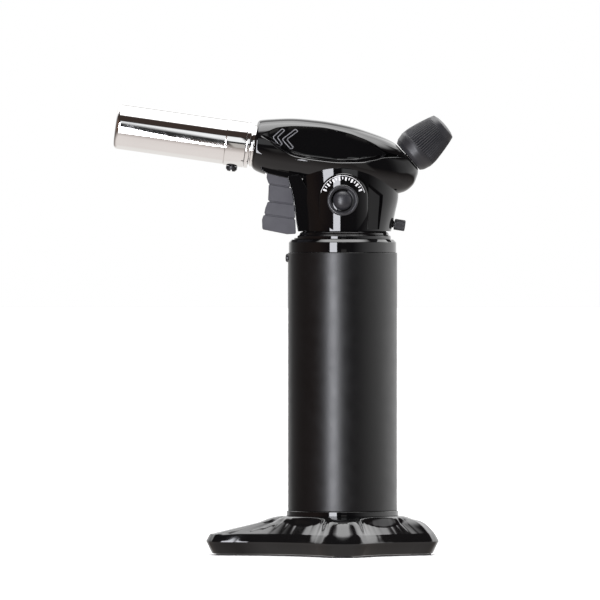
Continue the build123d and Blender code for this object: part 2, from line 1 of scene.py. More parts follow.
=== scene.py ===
"""Butane torch: detailed shells, metalwork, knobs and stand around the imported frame.

Lengths in the tables are millimetres in the object's own frame; MM turns them into metres.
-X is towards the flame, -Y is the side with the lock button, +Z is up."""
from math import acos, atan2, copysign, cos, hypot, pi, radians, sin, sqrt, tan
import bpy
import bmesh
import numpy as np
from mathutils import Matrix, Vector


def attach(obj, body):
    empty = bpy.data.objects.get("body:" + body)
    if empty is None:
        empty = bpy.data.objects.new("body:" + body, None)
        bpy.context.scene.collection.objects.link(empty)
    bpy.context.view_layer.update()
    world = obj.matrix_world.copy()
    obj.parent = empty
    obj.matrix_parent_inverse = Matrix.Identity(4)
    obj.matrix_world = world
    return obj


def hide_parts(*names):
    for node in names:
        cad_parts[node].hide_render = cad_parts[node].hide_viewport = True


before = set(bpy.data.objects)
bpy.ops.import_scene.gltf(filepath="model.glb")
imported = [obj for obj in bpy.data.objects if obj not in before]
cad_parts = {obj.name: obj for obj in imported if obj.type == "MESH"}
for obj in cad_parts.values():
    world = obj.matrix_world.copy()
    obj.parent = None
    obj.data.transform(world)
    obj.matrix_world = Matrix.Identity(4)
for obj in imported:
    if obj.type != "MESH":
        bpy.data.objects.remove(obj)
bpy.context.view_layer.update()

MM = 0.001

# ---- dimensions shared with the frame
BODY_R = 24.0
SLEEVE_Z0, SLEEVE_Z1 = 19.5, 132.9
COLLAR_R, COLLAR_TOP = 23.65, 138.7
NECK_Z = 142.3
STAND_TOP = 17.3
WALL = 2.0
LEAST_WALL = 1.0  # behind the scoop

TUBE_TILT = 8.2
TUBE_SEAM = (-42.4, 0.0, 180.5)
KNOB_TILT = 41.0
KNOB_RIDGE = (32.1, 0.0, 177.9)
AIR_TILT = -8.7
AIR_KNOB = (22.6, 0.0, 145.5)
PULL_TILT = -10.0
BUTTON_Z = 155.8
PANEL_Z = 156.8
PANEL_Y, PANEL_R, PANEL_X = -17.2, 10.95, 0.35
PANEL_CURVE_R, PANEL_CURVE_X = 23.0, 1.4
BEZEL_SEAT = 15.3
TRIGGER_HALF_W = 7.5
SLOT_GAP = 0.3  # clearance on each side of the trigger


# ---- frames and meshes
CAP_CORNERS = 14  # a face with this many corners is a flat cap
MERGE_DISTANCE = 1e-7  # metres
AXIS_R = 1e-6  # a point of a turned outline this near the axis lies on it
NEAR_STRAIGHT = 0.02  # radians from straight within which a corner stays as it is
CORNER_SHARE = 0.45  # most of a side that one rounded corner may take up
BEVEL_STEPS = 4


def placed(axes, point):
    """Matrix from three rows of axes and an origin."""
    m = Matrix(axes).to_4x4()
    m.translation = Vector(point)
    return m


def tilted(point, tilt):
    """Matrix whose z axis leaves a point of the mid plane, tilted up from +X by tilt degrees."""
    a = radians(tilt)
    z = Vector((cos(a), 0, sin(a)))
    x = Vector((0, 1, 0))
    y = z.cross(x)
    return placed(Matrix((x, y, z)).transposed(), point)


UPRIGHT = Matrix.Identity(4)
NOZZLE = tilted(TUBE_SEAM, 180 - TUBE_TILT)
KNOB = tilted(KNOB_RIDGE, KNOB_TILT)
AIR = tilted(AIR_KNOB, AIR_TILT)
PRESS = placed(((1, 0, 0), (0, 0, -1), (0, 1, 0)), (0, 0, BUTTON_Z))


def linked(name, data):
    """New object in the scene."""
    obj = bpy.data.objects.new(name, data)
    bpy.context.scene.collection.objects.link(obj)
    return obj


def make(name, verts, faces, material, place=UPRIGHT, smooth=True, sharp=35.0):
    """New object from millimetre vertices moved by a matrix, shaded smooth below the sharp angle."""
    mesh = bpy.data.meshes.new(name)
    mesh.from_pydata([tuple((place @ Vector(v)) * MM) for v in verts], [], faces)
    mesh.validate()
    obj = linked(name, mesh)
    finish_mesh(obj, smooth, sharp)
    mesh.materials.append(material)
    return obj


def finish_mesh(obj, smooth=True, sharp=35.0):
    """Merge doubled vertices, turn the faces outwards and mark flat caps and sharp edges."""
    bm = bmesh.new()
    bm.from_mesh(obj.data)
    bmesh.ops.remove_doubles(bm, verts=bm.verts, dist=MERGE_DISTANCE)
    bmesh.ops.recalc_face_normals(bm, faces=bm.faces)
    limit = radians(sharp)
    for face in bm.faces:
        face.smooth = smooth and len(face.verts) < CAP_CORNERS
    for edge in bm.edges:
        edge.smooth = len(edge.link_faces) == 2 and edge.calc_face_angle(0) < limit
    bm.to_mesh(obj.data)
    bm.free()


def grid_faces(rows, columns, ring=True, loop=True):
    """Four-sided faces of a grid; ring joins its last column to the first, loop its last row."""
    faces = []
    for i in range(rows if loop else rows - 1):
        m = (i + 1) % rows
        for j in range(columns if ring else columns - 1):
            k = (j + 1) % columns
            faces.append((i * columns + j, i * columns + k, m * columns + k, m * columns + j))
    return faces


def quarter(radius, steps):
    """Points of a quarter circle as insets from the two straight edges that it joins."""
    return [(radius * (1 - cos(t)), radius * (1 - sin(t))) for t in np.linspace(0, pi / 2, steps)]


def rounded(points, radius, steps=5):
    """Closed outline with each corner replaced by an arc; a point may carry its own radius."""
    out = []
    n = len(points)
    for i, p in enumerate(points):
        a, b, c = (np.array(points[(i + k) % n][:2], float) for k in (-1, 0, 1))
        r = p[2] if len(p) > 2 else radius
        u, v = a - b, c - b
        lu, lv = np.linalg.norm(u), np.linalg.norm(v)
        if lu < 1e-9 or lv < 1e-9:
            continue
        u, v = u / lu, v / lv
        turn = acos(max(-1, min(1, float(np.dot(u, v)))))
        if r <= 0 or turn > pi - NEAR_STRAIGHT:
            out.append(tuple(b))
            continue
        cut = min(r / tan(turn / 2), CORNER_SHARE * lu, CORNER_SHARE * lv)
        for k in range(steps + 1):
            t = k / steps
            q = (1 - t) ** 2 * (b + u * cut) + 2 * t * (1 - t) * b + t * t * (b + v * cut)
            out.append(tuple(q))
    return out


def lathe(name, outline, material, place=UPRIGHT, count=128, radius=0.3, ripple=None):
    """Turn a closed (radius, height) outline about z; ripple(angle, r, z) may add to the radius."""
    pts = rounded(outline, radius)
    verts = []
    for j in range(count):
        a = 2 * pi * j / count
        for r, z in pts:
            reach = max(r + (ripple(a, r, z) if ripple else 0.0), 0.0)
            verts.append((reach * cos(a), reach * sin(a), z))
    on_axis = [r < AXIS_R for r, _ in pts]
    n = len(pts)
    faces = [f for f in grid_faces(count, n) if not (on_axis[f[0] % n] and on_axis[f[1] % n])]
    return make(name, verts, faces, material, place)


def prism(name, outline, y0, y1, material, radius=0.6, bevel=0.4, place=UPRIGHT):
    """Side outline of (x, z) points extruded across the width, with rounded corners and bevelled rims."""
    pts = rounded(outline, radius)
    area = sum(a[0] * b[1] - b[0] * a[1] for a, b in zip(pts, pts[1:] + pts[:1]))
    if area < 0:
        pts.reverse()
    n = len(pts)
    levels = [k / BEVEL_STEPS * pi / 2 for k in range(BEVEL_STEPS + 1)]
    rims = [(bevel * (1 - sin(t)), y0 + bevel * (1 - cos(t))) for t in levels]
    rims += [(bevel * (1 - sin(t)), y1 - bevel * (1 - cos(t))) for t in reversed(levels)]
    normals = []
    for i in range(n):
        a, c = np.array(pts[i - 1]), np.array(pts[(i + 1) % n])
        d = c - a
        d /= max(np.linalg.norm(d), 1e-9)
        normals.append((-d[1], d[0]))
    verts = []
    for inset, y in rims:
        for (x, z), (nx, nz) in zip(pts, normals):
            verts.append((x + nx * inset, y, z + nz * inset))
    faces = grid_faces(len(rims), n, loop=False)
    faces.append(tuple(range(n)))
    last = (len(rims) - 1) * n
    faces.append(tuple(last + i for i in reversed(range(n))))
    return make(name, verts, faces, material, place)


def carve(obj, cutter):
    """Cut a hidden solid out of a piece and drop the solid."""
    mod = obj.modifiers.new("carve", "BOOLEAN")
    mod.operation = "DIFFERENCE"
    mod.solver = "EXACT"
    mod.object = cutter
    deps = bpy.context.evaluated_depsgraph_get()
    mesh = bpy.data.meshes.new_from_object(obj.evaluated_get(deps))
    old = obj.data
    obj.modifiers.clear()
    obj.data = mesh
    bpy.data.meshes.remove(old)
    bpy.data.objects.remove(cutter)


def smooth_keys(stations, values, at):
    """Cubic Hermite curve through key values, with slopes that never overshoot."""
    x = np.array(stations, float)
    y = np.array(values, float)
    if y.ndim == 1:
        y = y[:, None]
    h = np.diff(x)[:, None]
    d = np.diff(y, axis=0) / h
    m = np.zeros_like(y)
    m[0], m[-1] = d[0], d[-1]
    for i in range(1, len(x) - 1):
        w1, w2 = 2 * h[i] + h[i - 1], h[i] + 2 * h[i - 1]
        with np.errstate(divide="ignore", invalid="ignore"):
            harmonic = (w1 + w2) / (w1 / d[i - 1] + w2 / d[i])
        m[i] = np.where(d[i - 1] * d[i] > 0, harmonic, 0)
    at = np.atleast_1d(np.array(at, float))
    k = np.clip(np.searchsorted(x, at) - 1, 0, len(x) - 2)
    t = ((at - x[k]) / h[k, 0])[:, None]
    return ((2 * t**3 - 3 * t**2 + 1) * y[k] + (t**3 - 2 * t**2 + t) * h[k] * m[k]
            + (-2 * t**3 + 3 * t**2) * y[k + 1] + (t**3 - t**2) * h[k] * m[k + 1])


# ---- materials
# Noise textures as (features per metre, detail): colour, polish and the fine grain's detail.
TINT_NOISE = (60, 4)
POLISH_NOISE = (180, 5)
GRAIN_DETAIL = 3
NOISE_LOW, NOISE_HIGH = 0.3, 0.7


def shader(name, color, rough, metallic=0.0, specular=0.5):
    """Plain material and its node tree and surface node."""
    mat = bpy.data.materials.new(name)
    mat.use_nodes = True
    bsdf = mat.node_tree.nodes["Principled BSDF"]
    for socket, value in (("Base Color", (*color, 1)), ("Roughness", rough), ("Metallic", metallic),
                          ("Specular IOR Level", specular)):
        bsdf.inputs[socket].default_value = value
    return mat, mat.node_tree, bsdf


def noise(tree, scale, detail, stretch=(1, 1, 1)):
    """Noise texture in object metres; scale is features per metre."""
    coord = tree.nodes.new("ShaderNodeTexCoord")
    mapping = tree.nodes.new("ShaderNodeMapping")
    mapping.inputs["Scale"].default_value = stretch
    tex = tree.nodes.new("ShaderNodeTexNoise")
    tex.inputs["Scale"].default_value = scale
    tex.inputs["Detail"].default_value = detail
    tree.links.new(coord.outputs["Object"], mapping.inputs["Vector"])
    tree.links.new(mapping.outputs["Vector"], tex.inputs["Vector"])
    return tex.outputs["Fac"]


def rgba(value, share=1.0):
    """Opaque colour from a colour or a grey, scaled by a share."""
    color = value if isinstance(value, tuple) else (value,) * 3
    return (*(c * share for c in color), 1)


def ramp(tree, source, low, high):
    """Map a texture value to a colour or grey range."""
    node = tree.nodes.new("ShaderNodeValToRGB")
    first, last = node.color_ramp.elements
    first.position, last.position = NOISE_LOW, NOISE_HIGH
    first.color, last.color = rgba(low), rgba(high)
    tree.links.new(source, node.inputs["Fac"])
    return node.outputs["Color"]


def bump(tree, bsdf, source, depth_mm):
    """Raise the surface by a texture, up to a depth in millimetres."""
    node = tree.nodes.new("ShaderNodeBump")
    node.inputs["Strength"].default_value = 1.0
    node.inputs["Distance"].default_value = depth_mm * MM
    tree.links.new(source, node.inputs["Height"])
    tree.links.new(node.outputs["Normal"], bsdf.inputs["Normal"])


def finish(name, color, rough, grain, grain_mm, tint=0.15, spread=0.06, stretch=(1, 1, 1),
           **extra):
    """Coloured material with a fine surface grain, slight tint variation and uneven polish."""
    mat, tree, bsdf = shader(name, color, rough, **extra)
    low = tuple(c * (1 - tint) for c in color)
    high = tuple(min(1, c * (1 + tint)) for c in color)
    tree.links.new(ramp(tree, noise(tree, *TINT_NOISE), low, high), bsdf.inputs["Base Color"])
    low, high = max(0.0, rough - spread), rough + spread
    tree.links.new(ramp(tree, noise(tree, *POLISH_NOISE), low, high), bsdf.inputs["Roughness"])
    bump(tree, bsdf, noise(tree, grain, GRAIN_DETAIL, stretch), grain_mm)
    return mat


MAT = {
    "gloss": finish("gloss_black", (0.0030, 0.0028, 0.0031), 0.035, 500, 0.0012, spread=0.015),
    "stand": finish("stand_black", (0.0035, 0.0035, 0.0038), 0.09, 900, 0.0015, spread=0.03),
    "satin": finish("satin_black", (0.0022, 0.0020, 0.0023), 0.35, 3200, 0.010,
        spread=0.03, specular=0.45),
    "trigger": finish("trigger_grey", (0.041, 0.040, 0.049), 0.52, 4200, 0.018),
    "knob": finish("knob_charcoal", (0.019, 0.019, 0.022), 0.42, 4200, 0.003),
    "button": finish("button_charcoal", (0.020, 0.020, 0.024), 0.38, 4200, 0.008),
    # Vent rims: light grey against the black housing, a painted highlight standing in for the light that the
    # vents' gloss edges catch.
    "rim": finish("vent_rim_painted_highlight", (0.16, 0.16, 0.17), 0.25, 2000, 0.001),
    # Bezel: black, made a little lighter than the housing as a painted sheen for the bright ring of highlight
    # round its edge.
    "bezel": finish("bezel_black_painted_sheen", (0.030, 0.030, 0.033), 0.22, 2000, 0.002),
    "chrome": finish("chrome", (0.90, 0.89, 0.88), 0.045, 900, 0.0004,
        tint=0.02, spread=0.02, stretch=(0.15, 1, 1), metallic=1.0),
    "heat": finish("burner_steel", (0.42, 0.38, 0.34), 0.34, 2500, 0.006, tint=0.3, metallic=1.0),
    "steel": finish("plain_steel", (0.56, 0.56, 0.57), 0.30, 3000, 0.004,
        stretch=(1, 1, 0.1), metallic=1.0),
    "dark_steel": finish("black_steel", (0.03, 0.03, 0.032), 0.35, 3000, 0.004, metallic=0.6),
    "brass": finish("turned_brass", (0.70, 0.50, 0.21), 0.26, 2600, 0.004,
        stretch=(1, 1, 0.15), metallic=1.0),
    "copper": finish("copper_pipe", (0.72, 0.38, 0.24), 0.30, 2600, 0.004, metallic=1.0),
    "tin": finish("drawn_can", (0.62, 0.63, 0.65), 0.28, 900, 0.003, stretch=(1, 1, 0.2), metallic=1.0),
    "rubber": finish("rubber", (0.018, 0.018, 0.018), 0.75, 5000, 0.02),
    "nylon": finish("nylon", (0.68, 0.66, 0.60), 0.42, 2500, 0.006),
    "case": finish("igniter_case", (0.020, 0.020, 0.021), 0.40, 4000, 0.010),
    "ceramic": finish("ceramic", (0.80, 0.78, 0.73), 0.45, 3500, 0.006, tint=0.05),
    "lead": finish("lead_red", (0.16, 0.014, 0.012), 0.45, 2500, 0.005),
    "print": finish("legend_white", (0.80, 0.80, 0.80), 0.55, 4000, 0.002, tint=0.05),
}
GLOSS = MAT["gloss"]


def add(obj, body="torch", replaces=()):
    """Declare a finished piece: the body it rides on and the CAD nodes it stands for."""
    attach(obj, body)
    if replaces:
        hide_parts(*replaces)
    return obj


def joined(name, parts):
    """Join several meshes into one object."""
    bm = bmesh.new()
    for part in parts:
        bm.from_mesh(part.data)
    mesh = bpy.data.meshes.new(name)
    bm.to_mesh(mesh)
    bm.free()
    mesh.materials.append(parts[0].data.materials[0])
    for part in parts:
        bpy.data.objects.remove(part)
    return linked(name, mesh)


# ---- head and neck shells
# Head sections from the flame end: crown (x, z), keel (x, z), half width.
HEAD_KEYS = [
    (-37.2, 190.9, -40.3, 170.3, 12.85),
    (-35.4, 191.35, -37.6, 168.6, 12.9),
    (-32.0, 191.65, -34.0, 167.3, 12.97),
    (-23.0, 192.0, -24.0, 165.1, 13.1),
    (-10.8, 191.1, -9.5, 162.7, 13.7),
    (3.3, 188.5, 7.5, 160.1, 13.7),
    (13.5, 185.3, 20.5, 158.4, 12.8),
    (18.6, 183.35, 26.6, 159.5, 11.8),
    (21.4, 182.0, 31.2, 162.9, 10.2),
    (23.1, 181.0, 33.8, 169.3, 8.2),
]
# Neck sections from the foot: height z, front x, rear x, half width.
NECK_KEYS = [
    (142.3, -18.0, 21.4, 17.0),
    (150.0, -18.5, 23.1, 16.0),
    (158.0, -20.2, 24.6, 14.6),
    (172.0, -20.6, 24.8, 12.6),
]
HEAD_POWER, NECK_POWER = 2.2, 2.35  # superellipse powers of the two sections
FRONT_ROUND, REAR_ROUND = 1.3, 1.1  # roundings of the head's two ends
ROUND_STEPS = 8
HEAD_ROWS, NECK_ROWS, NECK_AROUND = ((220, 110, 140))
DENSE = 2
ROWS_BELOW, ROWS_IN, ROWS_ABOVE = 26 * DENSE, 22 * DENSE, 22 * DENSE
EDGE_SHARES = (0.02, 0.04, 0.06, 0.08, 0.11, 0.93, 0.96, 0.98, 0.995)
EDGE_HALVINGS = 34
SHELL_SHARP = 40  # degrees above which an edge of the shells stays sharp


def power_arc(v, power):
    """Unit superellipse point at angle v: (across, up)."""
    c, s = cos(v), sin(v)
    return abs(c) ** (2 / power), copysign(abs(s) ** (2 / power), s)


def half_shell(name, outer, inner, material):
    """Closed half shell from matching grids of outer and inner rings."""
    rings, n = len(outer), len(outer[0])
    verts = [p for ring in outer + inner for p in ring]
    base = rings * n
    faces = []
    for i in range(rings - 1):
        for j in range(n - 1):
            a, b, c, d = i * n + j, i * n + j + 1, (i + 1) * n + j + 1, (i + 1) * n + j
            faces.append((a, b, c, d))
            faces.append((base + d, base + c, base + b, base + a))
        for j in (0, n - 1):
            a, d = i * n + j, (i + 1) * n + j
            faces.append((a, d, base + d, base + a))
    for i in (0, rings - 1):
        for j in range(n - 1):
            a, b = i * n + j, i * n + j + 1
            faces.append((a, b, base + b, base + a))
    return make(name, verts, faces, material)


# Outline of the scoop in side view: station x, lower edge z, upper edge z.
SCOOP = [
    (-41.0, 183.6, 184.6),
    (-36.0, 183.3, 185.2),
    (-32.5, 181.9, 186.2),
    (-28.4, 178.8, 187.9),
    (-21.3, 175.0, 188.5),
    (-10.1, 173.0, 188.0),
    (-0.2, 172.1, 186.1),
    (8.0, 172.2, 183.4),
    (14.0, 173.2, 180.6),
    (18.9, 174.4, 177.4),
    (24.0, 174.6, 175.8),
    (34.0, 173.6, 174.6),
]
# Floor of the scoop: station x, distance from the mid plane.
FLOOR_KEYS = [(-41.0, 9.9), (-30.0, 9.95), (-15.0, 9.9), (0.0, 9.55), (10.0, 8.9), (20.0, 7.8), (34.0, 6.0)]
SCOOP_START, SCOOP_FADE = -37.0, 5.0  # the scoop grows to its full depth behind this station
SCOOP_LEDGE, SCOOP_LIP = 1.7, 0.5  # heights of its lower and upper slopes
CREASE_STEP = 0.3  # least step at its upper edge
FLOOR_BOW = 0.12


def ease(t):
    """Smooth step from 0 to 1."""
    t = max(0.0, min(1.0, t))
    return t * t * (3 - 2 * t)


CURVE_POINTS = 600


def curve_of(keys, column):
    """Smooth curve through one column of key rows, read by x."""
    xs = [k[0] for k in keys]
    grid = np.linspace(xs[0], xs[-1], CURVE_POINTS)
    vals = smooth_keys(xs, [k[column] for k in keys], grid)[:, 0]
    return lambda x: float(np.interp(x, grid, vals))


SCOOP_LOW = curve_of(SCOOP, 1)
SCOOP_HIGH = curve_of(SCOOP, 2)
SCOOP_FLOOR = curve_of(FLOOR_KEYS, 1)


def pressed_in(x, y, t, height, crease_y):
    """Distance of the flank from the mid plane at share t of the way up from the scoop's lower edge."""
    if not 0 < t < 1:
        return y
    start = ease((x - SCOOP_START) / SCOOP_FADE)
    floor = min(crease_y, SCOOP_FLOOR(x)) - CREASE_STEP - FLOOR_BOW * sin(pi * t)
    ledge = ease(t * height / SCOOP_LEDGE)
    lip = ease((1 - t) * height / SCOOP_LIP)
    return y + (min(y, floor) - y) * start * ledge * lip


def edge_angle(at, curve):
    """Angle on a section where it meets an edge curve of the side view."""
    low, high = -pi / 2, pi / 2
    for _ in range(EDGE_HALVINGS):
        mid = (low + high) / 2
        x, z = at(mid)
        if z < curve(x):
            low = mid
        else:
            high = mid
    return (low + high) / 2


def head_half(side):
    """One half of the head, with the scoop pressed into its flank."""
    mids = [((k[0] + k[2]) / 2, (k[1] + k[3]) / 2) for k in HEAD_KEYS]
    s = [0.0]
    for a, b in zip(mids, mids[1:]):
        s.append(s[-1] + hypot(b[0] - a[0], b[1] - a[1]))
    length = s[-1]
    front = quarter(FRONT_ROUND, ROUND_STEPS)
    rear = [(length - along, inset) for along, inset in reversed(quarter(REAR_ROUND, ROUND_STEPS))]
    body = [(float(u), 0.0) for u in np.linspace(FRONT_ROUND, length - REAR_ROUND, HEAD_ROWS)[1:-1]]
    stations = front + body + rear
    keys = smooth_keys(s, HEAD_KEYS, [u for u, _ in stations])
    shares = sorted({*np.linspace(0, 1, ROWS_IN), *EDGE_SHARES})
    outer, inner = [], []
    for (tx, tz, bx, bz, w), (u, inset) in zip(keys, stations):
        h = hypot(tx - bx, tz - bz) / 2
        up = ((tx - bx) / (2 * h), (tz - bz) / (2 * h))
        cx, cz = (tx + bx) / 2, (tz + bz) / 2

        def side_point(v):
            r = (h - inset) * power_arc(v, HEAD_POWER)[1]
            return cx + up[0] * r, cz + up[1] * r

        v_low, v_high = edge_angle(side_point, SCOOP_LOW), edge_angle(side_point, SCOOP_HIGH)
        turns = [(float(v), 0.0) for v in np.linspace(-pi / 2, v_low, ROWS_BELOW)[:-1]]
        turns += [(v_low + (v_high - v_low) * t, t) for t in shares]
        turns += [(float(v), 0.0) for v in np.linspace(v_high, pi / 2, ROWS_ABOVE)[1:]]
        out_ring, in_ring = [], []
        height = side_point(v_high)[1] - side_point(v_low)[1]
        crease_y = (w - inset) * power_arc(v_high, HEAD_POWER)[0]
        for v, t in turns:
            across, rise = power_arc(v, HEAD_POWER)
            x, z = side_point(v)
            y = (w - inset) * across
            y = pressed_in(x, y, t, height, crease_y)
            out_ring.append((x, side * y, z))
            r = (h - WALL) * rise
            inside = min((w - WALL) * across, max(0.0, y - LEAST_WALL))
            in_ring.append((cx + up[0] * r, side * inside, cz + up[1] * r))
        outer.append(out_ring)
        inner.append(in_ring)
    return half_shell("head_cover_left" if side < 0 else "head_cover_right", outer, inner, GLOSS)


# Flat facet cut into the left side of the neck, behind the arched panel: its corners in side view.
FACET = [(11.4, 163.2), (17.7, 158.2), (17.5, 154.8), (16.0, 143.1), (10.9, 143.1)]
FACET_X, FACET_Y, FACET_Z = 14.0, -12.9, 143.0  # a point of its floor
FACET_IN_X, FACET_IN_Z = 0.42, 0.125  # its slopes towards the mid plane
OUTSIDE = 30.0  # beyond every shell


def facet_cutter():
    """Solid outside the facet's sloping floor."""
    n = len(FACET)
    floor = [(x, FACET_Y + FACET_IN_Z * (z - FACET_Z) + FACET_IN_X * (x - FACET_X), z) for x, z in FACET]
    outer = [(x, -OUTSIDE, z) for x, z in FACET]
    faces = [tuple(range(n)), tuple(reversed(range(n, 2 * n)))]
    faces += [(i, n + i, n + (i + 1) % n, (i + 1) % n) for i in range(n)]
    return make("facet", floor + outer, faces, GLOSS)


def neck_half(side):
    """One half of the neck."""
    zs = np.linspace(NECK_KEYS[0][0], NECK_KEYS[-1][0], NECK_ROWS)
    keys = smooth_keys([k[0] for k in NECK_KEYS], [k[1:] for k in NECK_KEYS], zs)
    outer, inner = [], []
    for (front, rear, w), z in zip(keys, zs):
        a, cx = (rear - front) / 2, (rear + front) / 2
        out_ring, in_ring = [], []
        for v in np.linspace(-pi / 2, pi / 2, NECK_AROUND):
            across, along = power_arc(v, NECK_POWER)
            x = cx + a * along
            y = w * across
            out_ring.append((x, side * y, z))
            in_ring.append((cx + (a - WALL) * along, side * (w - WALL) * across, z))
        outer.append(out_ring)
        inner.append(in_ring)
    return half_shell("neck_left" if side < 0 else "neck_right", outer, inner, GLOSS)


# Room for the trigger: side outline of the slot in the neck and under the head.
SLOT = [(-34.1, 171.4), (-23.4, 169.6), (-17.3, 168.4), (-15.5, 160.0), (-14.4, 153.6), (-14.0, 148.9),
        (-14.0, 139.4), (-24.4, 140.4), (-37.0, 142.4), (-37.0, 164.0), (-34.1, 165.6)]


def slot_cutter():
    """Solid that fills the trigger's slot."""
    half = TRIGGER_HALF_W + SLOT_GAP
    return prism("slot", SLOT, -half, half, GLOSS, radius=0.5, bevel=0.1)


# Wells over the joining screws, (x, z). The fourth screw, at the rear of the head, has none.
HEAD_WELLS = [(-14.0, 184.0)]
NECK_WELLS = [(16.0, 156.2), (-11.0, 145.6)]
WELL_R = 2.37
WELL_TURN = 0.03  # keeps the wells' corners off the shell's own rows
WELL_SIDES = 44
WELL_TOP_Y = 20.0
SCREW_SEAT_Y = 7.0


def screw_wells(spots):
    """Solids that fill wells in the right shell."""
    wells = []
    outline = [(0, SCREW_SEAT_Y), (WELL_R, SCREW_SEAT_Y), (WELL_R, WELL_TOP_Y), (0, WELL_TOP_Y)]
    for x, z in spots:
        across = placed(((1, 0, 0), (0, 0, 1), (0, -1, 0)), (x, 0, z)) @ Matrix.Rotation(WELL_TURN, 4, "Z")
        wells.append(lathe("well", outline, GLOSS, across, WELL_SIDES, 0))
    return joined("wells", wells)


# Rims of the two V-shaped vents in side view.
CHEVRONS = [
    [(-26.6, 187.2), (-30.6, 183.6), (-27.6, 179.8), (-26.4, 180.5), (-28.6, 183.5), (-25.3, 186.6)],
    [(-20.8, 187.0), (-26.5, 182.6), (-22.7, 178.3), (-21.5, 179.0), (-24.5, 182.6), (-19.5, 186.3)],
]
CHEVRON_CORNER, CHEVRON_STEPS = 0.7, 4
BEAD_R, BEAD_SIDES = 0.26, 8


def bead(name, outline, y, material):
    """Fine round bead following a closed outline of (x, z) points."""
    pts = [np.array(p) for p in rounded(outline, CHEVRON_CORNER, CHEVRON_STEPS)]
    n = len(pts)
    verts = []
    for i, p in enumerate(pts):
        d = pts[(i + 1) % n] - pts[i - 1]
        d /= np.linalg.norm(d)
        for k in range(BEAD_SIDES):
            t = 2 * pi * k / BEAD_SIDES
            out = BEAD_R * cos(t)
            verts.append((p[0] - d[1] * out, y + BEAD_R * sin(t), p[1] + d[0] * out))
    return make(name, verts, grid_faces(n, BEAD_SIDES), material, sharp=80)


def chevron_rims():
    """Rims of the vents, standing on the scoop's floor on the left."""
    rims = []
    for outline in CHEVRONS:
        middle = sum(x for x, _ in outline) / len(outline)
        # The rims carry the light grey of the painted highlight.
        rims.append(bead("rim", outline, CREASE_STEP - SCOOP_FLOOR(middle), MAT["rim"]))
    add(joined("chevron_rims", rims))


def build_shells():
    """Both halves of the head and the neck."""
    for side, node in ((-1, "head_shell_left"), (1, "head_shell_right")):
        head, neck = head_half(side), neck_half(side)
        carve(head, slot_cutter())
        carve(neck, slot_cutter())
        if side > 0:
            carve(head, screw_wells(HEAD_WELLS))
            carve(neck, screw_wells(NECK_WELLS))
        else:
            carve(neck, facet_cutter())
        finish_mesh(head, sharp=SHELL_SHARP)
        finish_mesh(neck, sharp=SHELL_SHARP)
        add(head, replaces=[node])
        add(neck)


# Guides beside the trigger slot in side view.
LIP = [(-19.6, NECK_Z, 0.3), (-20.3, 146.0, 3.0), (-20.8, 150.0, 3.0), (-21.3, 154.8, 3.0),
       (-22.5, 160.5, 3.0), (-24.4, 166.3, 1.0), (-19.0, 167.4, 1.0), (-15.0, 160.0, 3.0),
       (-14.2, 150.0, 3.0), (-14.2, NECK_Z, 0.3)]
LIP_NEAR, LIP_FAR = 7.85, 10.0
# Skirts that carry the head's lower edge down past the top of the trigger.
SKIRT = [(-17.0, 165.6), (-23.8, 165.5), (-33.2, 167.7), (-35.6, 168.9), (-36.2, 171.5), (-24.0, 171.0),
         (-17.0, 170.0)]
SKIRT_FAR = 8.9


def slot_lips():
    """Guide and skirt on each side of the trigger."""
    for side, name in ((-1, "slot_guide_left"), (1, "slot_guide_right")):
        near, far = sorted((side * LIP_NEAR, side * LIP_FAR))
        lip = prism("lip", LIP, near, far, GLOSS, 0.4, 0.25)
        near, far = sorted((side * LIP_NEAR, side * SKIRT_FAR))
        skirt = prism("skirt", SKIRT, near, far, GLOSS, 0.6, 0.3)
        add(joined(name, [lip, skirt]))


PANEL_BACK = -6.5
PANEL_EDGE = 0.9  # rounding of the panel's rim
PANEL_INNER, PANEL_RINGS = 1.6, 14  # first inset and number of the arches on the face
SIDE_STEPS, ARCH_STEPS = 14, 64
HOLE_R, BEZEL_HOLE_R = 5.55, 6.85


def panel_face(x):
    """Bulged face of the panel."""
    return PANEL_Y + PANEL_CURVE_R - sqrt(PANEL_CURVE_R ** 2 - (x - PANEL_CURVE_X) ** 2)


def side_panel():
    """Arched panel with a bulged face, built of nested arches from the rim inwards."""
    rims = quarter(PANEL_EDGE, 7)
    rims += [(float(d), 0.0) for d in np.linspace(PANEL_INNER, PANEL_R, PANEL_RINGS)]
    turns = [pi * k / ARCH_STEPS for k in range(ARCH_STEPS + 1)]
    straight = PANEL_Z - NECK_Z
    rows = []
    for inset, back in rims:
        r = PANEL_R - inset
        arch = [(PANEL_X + r, NECK_Z + straight * k / SIDE_STEPS) for k in range(SIDE_STEPS)]
        arch += [(PANEL_X + r * cos(t), PANEL_Z + r * sin(t)) for t in turns]
        arch += [(PANEL_X - r, PANEL_Z - straight * (k + 1) / SIDE_STEPS) for k in range(SIDE_STEPS)]
        if not rows:
            rows.append([(x, PANEL_BACK, z) for x, z in arch])
        rows.append([(x, min(panel_face(x) + back, PANEL_BACK), z) for x, z in arch])
    n = len(rows[0])
    verts = [p for row in rows for p in row]
    faces = grid_faces(len(rows), n, ring=False, loop=False)
    foot = [i * n for i in range(len(rows))] + [i * n + n - 1 for i in reversed(range(len(rows)))]
    faces.append(tuple(foot))
    faces.append(tuple(reversed(range(n))))
    panel = make("arched_panel", verts, faces, GLOSS)
    hole = [(0, 7.0), (HOLE_R, 7.0), (HOLE_R, BEZEL_SEAT), (BEZEL_HOLE_R, BEZEL_SEAT),
            (BEZEL_HOLE_R, 25), (0, 25)]
    carve(panel, lathe("hole", hole, GLOSS, PRESS, 96, 0))
    finish_mesh(panel, sharp=SHELL_SHARP)
    add(panel)
    add(legend())


